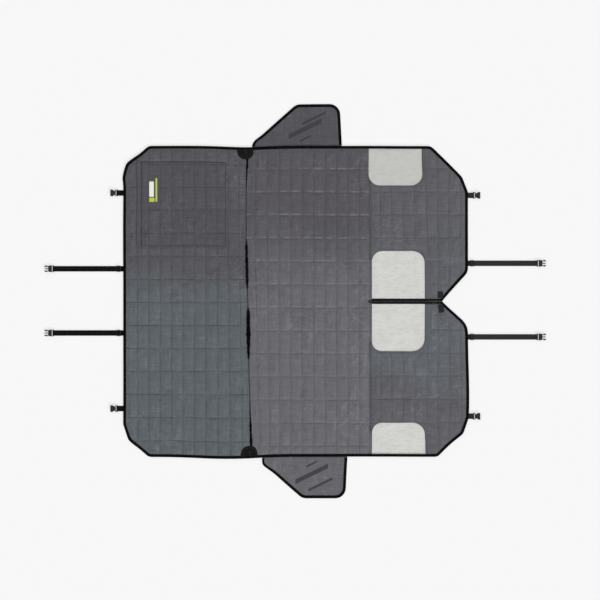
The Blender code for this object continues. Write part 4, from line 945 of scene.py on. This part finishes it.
def keep_nearest_edge(item, outlines):
    """Stores how far a tape's points are from the nearest of several sewn edges, and along it."""
    points = np.array([vert.co.xy for vert in item.data.vertices])
    points = points - lie_of_cloth(points)
    nearest = np.full(len(points), 9.0)
    travelled = np.zeros(len(points))
    for outline in outlines:
        distance, along = edge_place(points, outline)
        travelled = np.where(distance < nearest, along, travelled)
        nearest = np.minimum(nearest, distance)
    keep_places(item.data, {"from_edge": nearest, "along_edge": travelled})


binding_tape = Finish("binding_tape", TAPE_BLACK, 0.78, specular=TAPE_SPECULAR)
along_tape = binding_tape.attribute("along_edge")
tape_row = stitched_line(binding_tape, binding_tape.attribute("from_edge"), TAPE_STITCH, 0.0007)
tape_thread = tape_row * binding_tape.smooth(along_tape.math("PINGPONG", THREAD_LENGTH / 2), 0.0003, 0.0007)
tape_rub = binding_tape.smooth(binding_tape.noise(45, 4), 0.42, 0.75)
tape_base = binding_tape.mix(tape_rub, TAPE_BLACK, TAPE_WORN)
binding_tape.colour(binding_tape.mix(tape_thread, tape_base, TAPE_THREAD))
tape_ribs = along_tape.wave(TAPE_RIB_PITCH) * TAPE_RIB_DEPTH + binding_tape.noise(90, 2) * 0.0004
binding_tape.bump(tape_ribs + tape_thread * 0.0003 - tape_row * 0.0002)
for node, bound, seed in BINDINGS:
    binding = soft_copy(node, f"folded_{node}", TAPE_STEP, TAPE_BEVEL, TAPE_BILLOW, seed)
    if node.startswith("flap"):
        edges = [sewn_outline(piece, FLAP_THICKNESS) for piece in bound]
    else:
        edges = [panel_outline(piece) for piece in bound]
    keep_nearest_edge(binding, edges)
    fit(binding, node, binding_tape)


# The seam between back and seat: a black backing tape shows through the two seat belt slots and
# in the narrow opening of the seam. A half-round patch of black webbing, with a bar of dense
# stitches, holds each end of the seam.
PATCH_BLACK = (0.0075, 0.0075, 0.0082)
PATCH_WORN = (0.0330, 0.0330, 0.0340)
PATCH_SPECULAR = 0.06
PATCH_MIDDLE_X = -0.226
PATCH_MIDDLE_Y = 0.695
PATCH_RIM = 0.033
PATCH_FLAT_SIDE_Y = 0.685
PATCH_OVER_BINDING = 0.0075
PATCH_LIFT = 0.0003
PATCH_BEVEL = 0.0003
PATCH_WEAVE_PITCH = 0.0022
WEBBING_STEP = 0.006
SEAM_TAPE_BLACK = (0.0020, 0.0020, 0.0023)

seam_cloth = Finish("seam_backing_tape", SEAM_TAPE_BLACK, 0.85, specular=TAPE_SPECULAR)
seam_rub = seam_cloth.smooth(seam_cloth.noise(30, 3), 0.4, 0.8)
seam_cloth.colour(seam_cloth.mix(seam_rub, SEAM_TAPE_BLACK, TAPE_WORN))
seam_cloth.bump(seam_cloth.y.wave(TAPE_RIB_PITCH) * TAPE_RIB_DEPTH + seam_cloth.noise(80, 2) * 0.0004)
seam_tape = soft_copy("seam_tape", "seam_backing_tape", TAPE_STEP)
fit(seam_tape, "seam_tape", seam_cloth)

patch_webbing = Finish("patch_webbing", PATCH_BLACK, 0.7, specular=PATCH_SPECULAR)
patch_x = patch_webbing.attribute("cut_x") - PATCH_MIDDLE_X
patch_y = PATCH_MIDDLE_Y - patch_webbing.attribute("cut_y").math("ABSOLUTE")
patch_reach = (patch_x * patch_x + patch_y * patch_y).math("SQRT")
patch_row = stitched_line(patch_webbing, patch_reach, PATCH_RIM, 0.0011)
patch_bar = stitched_line(patch_webbing, patch_x, 0.0, 0.0045)
patch_bar = patch_bar * patch_webbing.smooth(patch_y, 0.024, 0.020)
patch_dots = patch_webbing.smooth(patch_webbing.noise(150, 1), 0.52, 0.60)
patch_light = (patch_row * 0.6).math("MAXIMUM", patch_bar * (patch_dots * 0.6 + 0.2)) + patch_dots * 0.06
patch_webbing.colour(patch_webbing.mix(patch_light, PATCH_BLACK, PATCH_WORN))
patch_webbing.bump(patch_webbing.weave(PATCH_WEAVE_PITCH, 0.0005) + patch_light * 0.0005)
for side in SIDES:
    node = f"corner_patch_{side}"
    patch = soft_copy(node, f"sewn_{node}", WEBBING_STEP, PATCH_BEVEL)
    for vert in patch.data.vertices:
        # The flat side reaches over the binding.
        if abs(vert.co.y) > PATCH_FLAT_SIDE_Y:
            vert.co.y += math.copysign(PATCH_OVER_BINDING, vert.co.y)
            vert.co.z += PATCH_LIFT
    fit(patch, node, patch_webbing)


# The eight headrest straps: 25 mm black polypropylene webbing, sewn under the panel's edge. A
# long strap threads its strap slide and ends in the male half of a buckle. A short one is folded
# round the bar of the female half and sewn down.
WEBBING_SHADED_BACK = (0.0050, 0.0050, 0.0055)
WEBBING_LIT_FRONT = (0.0270, 0.0270, 0.0280)
WEBBING_SPECULAR = 0.05
WEBBING_WORN = 1.5
WEBBING_RIB_PITCH = 0.0030
WEBBING_PICK_PITCH = 0.0024
WEBBING_BEVEL = 0.00028

webbing = Finish("strap_webbing", WEBBING_SHADED_BACK, 0.6, specular=WEBBING_SPECULAR)
# Painted light: the webbing is painted darker at the back and lighter towards the front, and worn patches
# are lighter still.
painted_light_to_front = webbing.smooth(webbing.x, -0.4, 0.7)
webbing_painted_light = webbing.mix(painted_light_to_front, WEBBING_SHADED_BACK, WEBBING_LIT_FRONT)
worn_webbing_painted_light = webbing.mix(
    painted_light_to_front, shaded(WEBBING_SHADED_BACK, WEBBING_WORN), shaded(WEBBING_LIT_FRONT, WEBBING_WORN)
)
webbing.colour(webbing.mix(webbing.noise(60, 3), webbing_painted_light, worn_webbing_painted_light))
cord_rows = webbing.y.wave(WEBBING_RIB_PITCH).math("ABSOLUTE")
webbing.bump(cord_rows * 0.0005 + cord_rows * webbing.x.wave(WEBBING_PICK_PITCH) * 0.0002)

for kind in ("long_strap", "short_strap"):
    for place in ("back_left", "back_right", "front_left", "front_right"):
        node = f"{kind}_{place}"
        strap = soft_copy(node, f"webbing_{node}", WEBBING_STEP, WEBBING_BEVEL, laid=0.0)
        fit(strap, node, webbing)


# The buckles and strap slides: side release buckles and three-bar slides, moulded in black acetal, with a
# fine eroded grain and patches that are lighter and rougher, scuffed from handling.
PLASTIC_BLACK = (0.0090, 0.0090, 0.0098)
PLASTIC_WORN = (0.0220, 0.0220, 0.0230)
PLASTIC_SPECULAR = 0.4

acetal = Finish("buckle_acetal", PLASTIC_BLACK, 0.36, specular=PLASTIC_SPECULAR)
grain = acetal.noise(900, 2)
scuff = acetal.smooth(acetal.noise(120, 4), 0.5, 0.8)
acetal.colour(acetal.mix(scuff, PLASTIC_BLACK, PLASTIC_WORN))
acetal.roughness(0.30 + scuff * 0.25 + grain * 0.06)
acetal.bump(grain * 0.00008)
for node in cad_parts:
    if node.startswith(("prong_buckle", "socket_buckle", "triglide")):
        dress_cad(node, acetal)


# The zip between the two front halves: black woven tapes, moulded teeth, a stop at the closed
# end, and a lacquered zinc slider with its pull. Two webbing tabs at the open end are for holding
# the cloth while the zip is worked.
ZIP_TAPE_BLACK = (0.0095, 0.0095, 0.0102)
ZIP_RIB_PITCH = 0.0016
ZIP_WEAVE_PITCH = 0.0010
ZIP_TAPE_INNER = 0.0040
ZIP_TAPE_UNDER_TEETH = 0.0002
TOOTH_PITCH = 0.0060
TOOTH_COUNT = 50
TOOTH_FIRST_X = 0.3464
TOOTH_MIDDLE_Z = 0.00335
TOOTH_FOOT = (0.0027, 0.0018, 0.0029)
TOOTH_FOOT_Y = 0.0024
TOOTH_NECK = 0.0006
TOOTH_NECK_TAPER = (0.62, 1, 0.85)
TOOTH_HEAD = 0.0016
TOOTH_HEAD_FLARE = (1.60, 1, 1)
TOOTH_TIP_TAPER = (0.80, 1, 0.9)
TOOTH_EDGE = 0.00025
TOOTH_BLACK = (0.0160, 0.0160, 0.0170)
ZINC_GREY = (0.060, 0.060, 0.064)
ZINC_BARE = (0.20, 0.20, 0.20)
TAB_BLACK = (0.0160, 0.0165, 0.0175)
TAB_RIB_PITCH = 0.0026
TAB_BEVEL = 0.0004

zip_weave = Finish("zip_tape_weave", ZIP_TAPE_BLACK, 0.8, specular=TAPE_SPECULAR)
zip_rub = zip_weave.smooth(zip_weave.noise(50, 3), 0.4, 0.75)
zip_weave.colour(zip_weave.mix(zip_rub * 0.6, ZIP_TAPE_BLACK, TAPE_THREAD))
zip_weave.bump(zip_weave.y.wave(ZIP_RIB_PITCH) * 0.0001 + zip_weave.weave(ZIP_WEAVE_PITCH, 0.0001))
for side in SIDES:
    tape = soft_copy(f"zip_tape_{side}", f"woven_zip_tape_{side}", TAPE_STEP)
    for vert in tape.data.vertices:
        # The inner edge runs on under the teeth, up to the other tape's.
        if abs(vert.co.y) < ZIP_TAPE_INNER:
            vert.co.y = math.copysign(ZIP_TAPE_UNDER_TEETH, vert.co.y)
    fit(tape, f"zip_tape_{side}", zip_weave)

tab_webbing = Finish("tab_webbing", TAB_BLACK, 0.75)
tab_rows = tab_webbing.x.wave(TAB_RIB_PITCH).math("ABSOLUTE")
tab_rub = tab_webbing.noise(80, 3)
tab_webbing.colour(tab_webbing.mix(tab_rub, TAB_BLACK, shaded(TAB_BLACK, 1.6)))
tab_webbing.bump(tab_rows * 0.0004 + tab_rub * 0.0002)
for side in SIDES:
    tab = soft_copy(f"zip_tab_{side}", f"webbing_zip_tab_{side}", WEBBING_STEP, TAB_BEVEL)
    fit(tab, f"zip_tab_{side}", tab_webbing)

tooth_plastic = Finish("zip_tooth_plastic", TOOTH_BLACK, 0.34, specular=PLASTIC_SPECULAR)
tooth_grain = tooth_plastic.noise(700, 2)
tooth_plastic.colour(tooth_plastic.mix(tooth_grain, TOOTH_BLACK, shaded(TOOTH_BLACK, 1.5)))
tooth_plastic.roughness(0.28 + tooth_grain * 0.16)
tooth_plastic.bump(tooth_grain * 0.00006)

zinc = Finish("lacquered_zinc", ZINC_GREY, 0.34, metallic=0.85, specular=0.5)
zinc_wear = zinc.smooth(zinc.noise(420, 4), 0.60, 0.80)
zinc.colour(zinc.mix(zinc_wear, ZINC_GREY, ZINC_BARE))
zinc.roughness(0.30 + zinc.noise(500, 2) * 0.2)
zinc.bump(zinc_wear * -0.00004)


def moulded_teeth(side, away, first_x):
    """A row of teeth: a foot that clamps the tape, a neck, and a head that crosses the middle."""
    bpy.ops.object.select_all(action="DESELECT")
    bpy.ops.mesh.primitive_cube_add(size=1, location=(first_x, TOOTH_FOOT_Y, TOOTH_MIDDLE_Z))
    teeth = bpy.context.object
    teeth.name = f"moulded_zip_teeth_{side}"
    teeth.scale = TOOTH_FOOT
    bpy.ops.object.transform_apply(location=True, rotation=False, scale=True)
    for face in teeth.data.polygons:
        face.select = face.normal.y < -0.9
    bpy.ops.object.mode_set(mode="EDIT")
    bpy.ops.mesh.select_mode(type="FACE")
    bpy.ops.mesh.extrude_region_move(TRANSFORM_OT_translate={"value": (0, -TOOTH_NECK, 0)})
    bpy.ops.transform.resize(value=TOOTH_NECK_TAPER)
    for change in (TOOTH_HEAD_FLARE, TOOTH_TIP_TAPER):
        bpy.ops.mesh.extrude_region_move(TRANSFORM_OT_translate={"value": (0, -TOOTH_HEAD / 2, 0)})
        bpy.ops.transform.resize(value=change)
    bpy.ops.object.mode_set(mode="OBJECT")
    edge_round = teeth.modifiers.new("rounded_edges", "BEVEL")
    edge_round.width = TOOTH_EDGE
    edge_round.segments = 1
    bpy.ops.object.modifier_apply(modifier="rounded_edges")
    row = teeth.modifiers.new("row", "ARRAY")
    row.count = TOOTH_COUNT
    row.use_relative_offset = False
    row.use_constant_offset = True
    row.constant_offset_displace = (TOOTH_PITCH, 0, 0)
    bpy.ops.object.modifier_apply(modifier="row")
    if away < 0:
        for vert in teeth.data.vertices:
            vert.co.y = -vert.co.y
        teeth.data.flip_normals()
    fit(teeth, f"zip_teeth_{side}", tooth_plastic)


moulded_teeth("left", 1, TOOTH_FIRST_X)
moulded_teeth("right", -1, TOOTH_FIRST_X + TOOTH_PITCH / 2)
dress_cad("zip_bottom_stop", tooth_plastic)
dress_cad("zip_slider", zinc)
dress_cad("zip_pull", zinc)
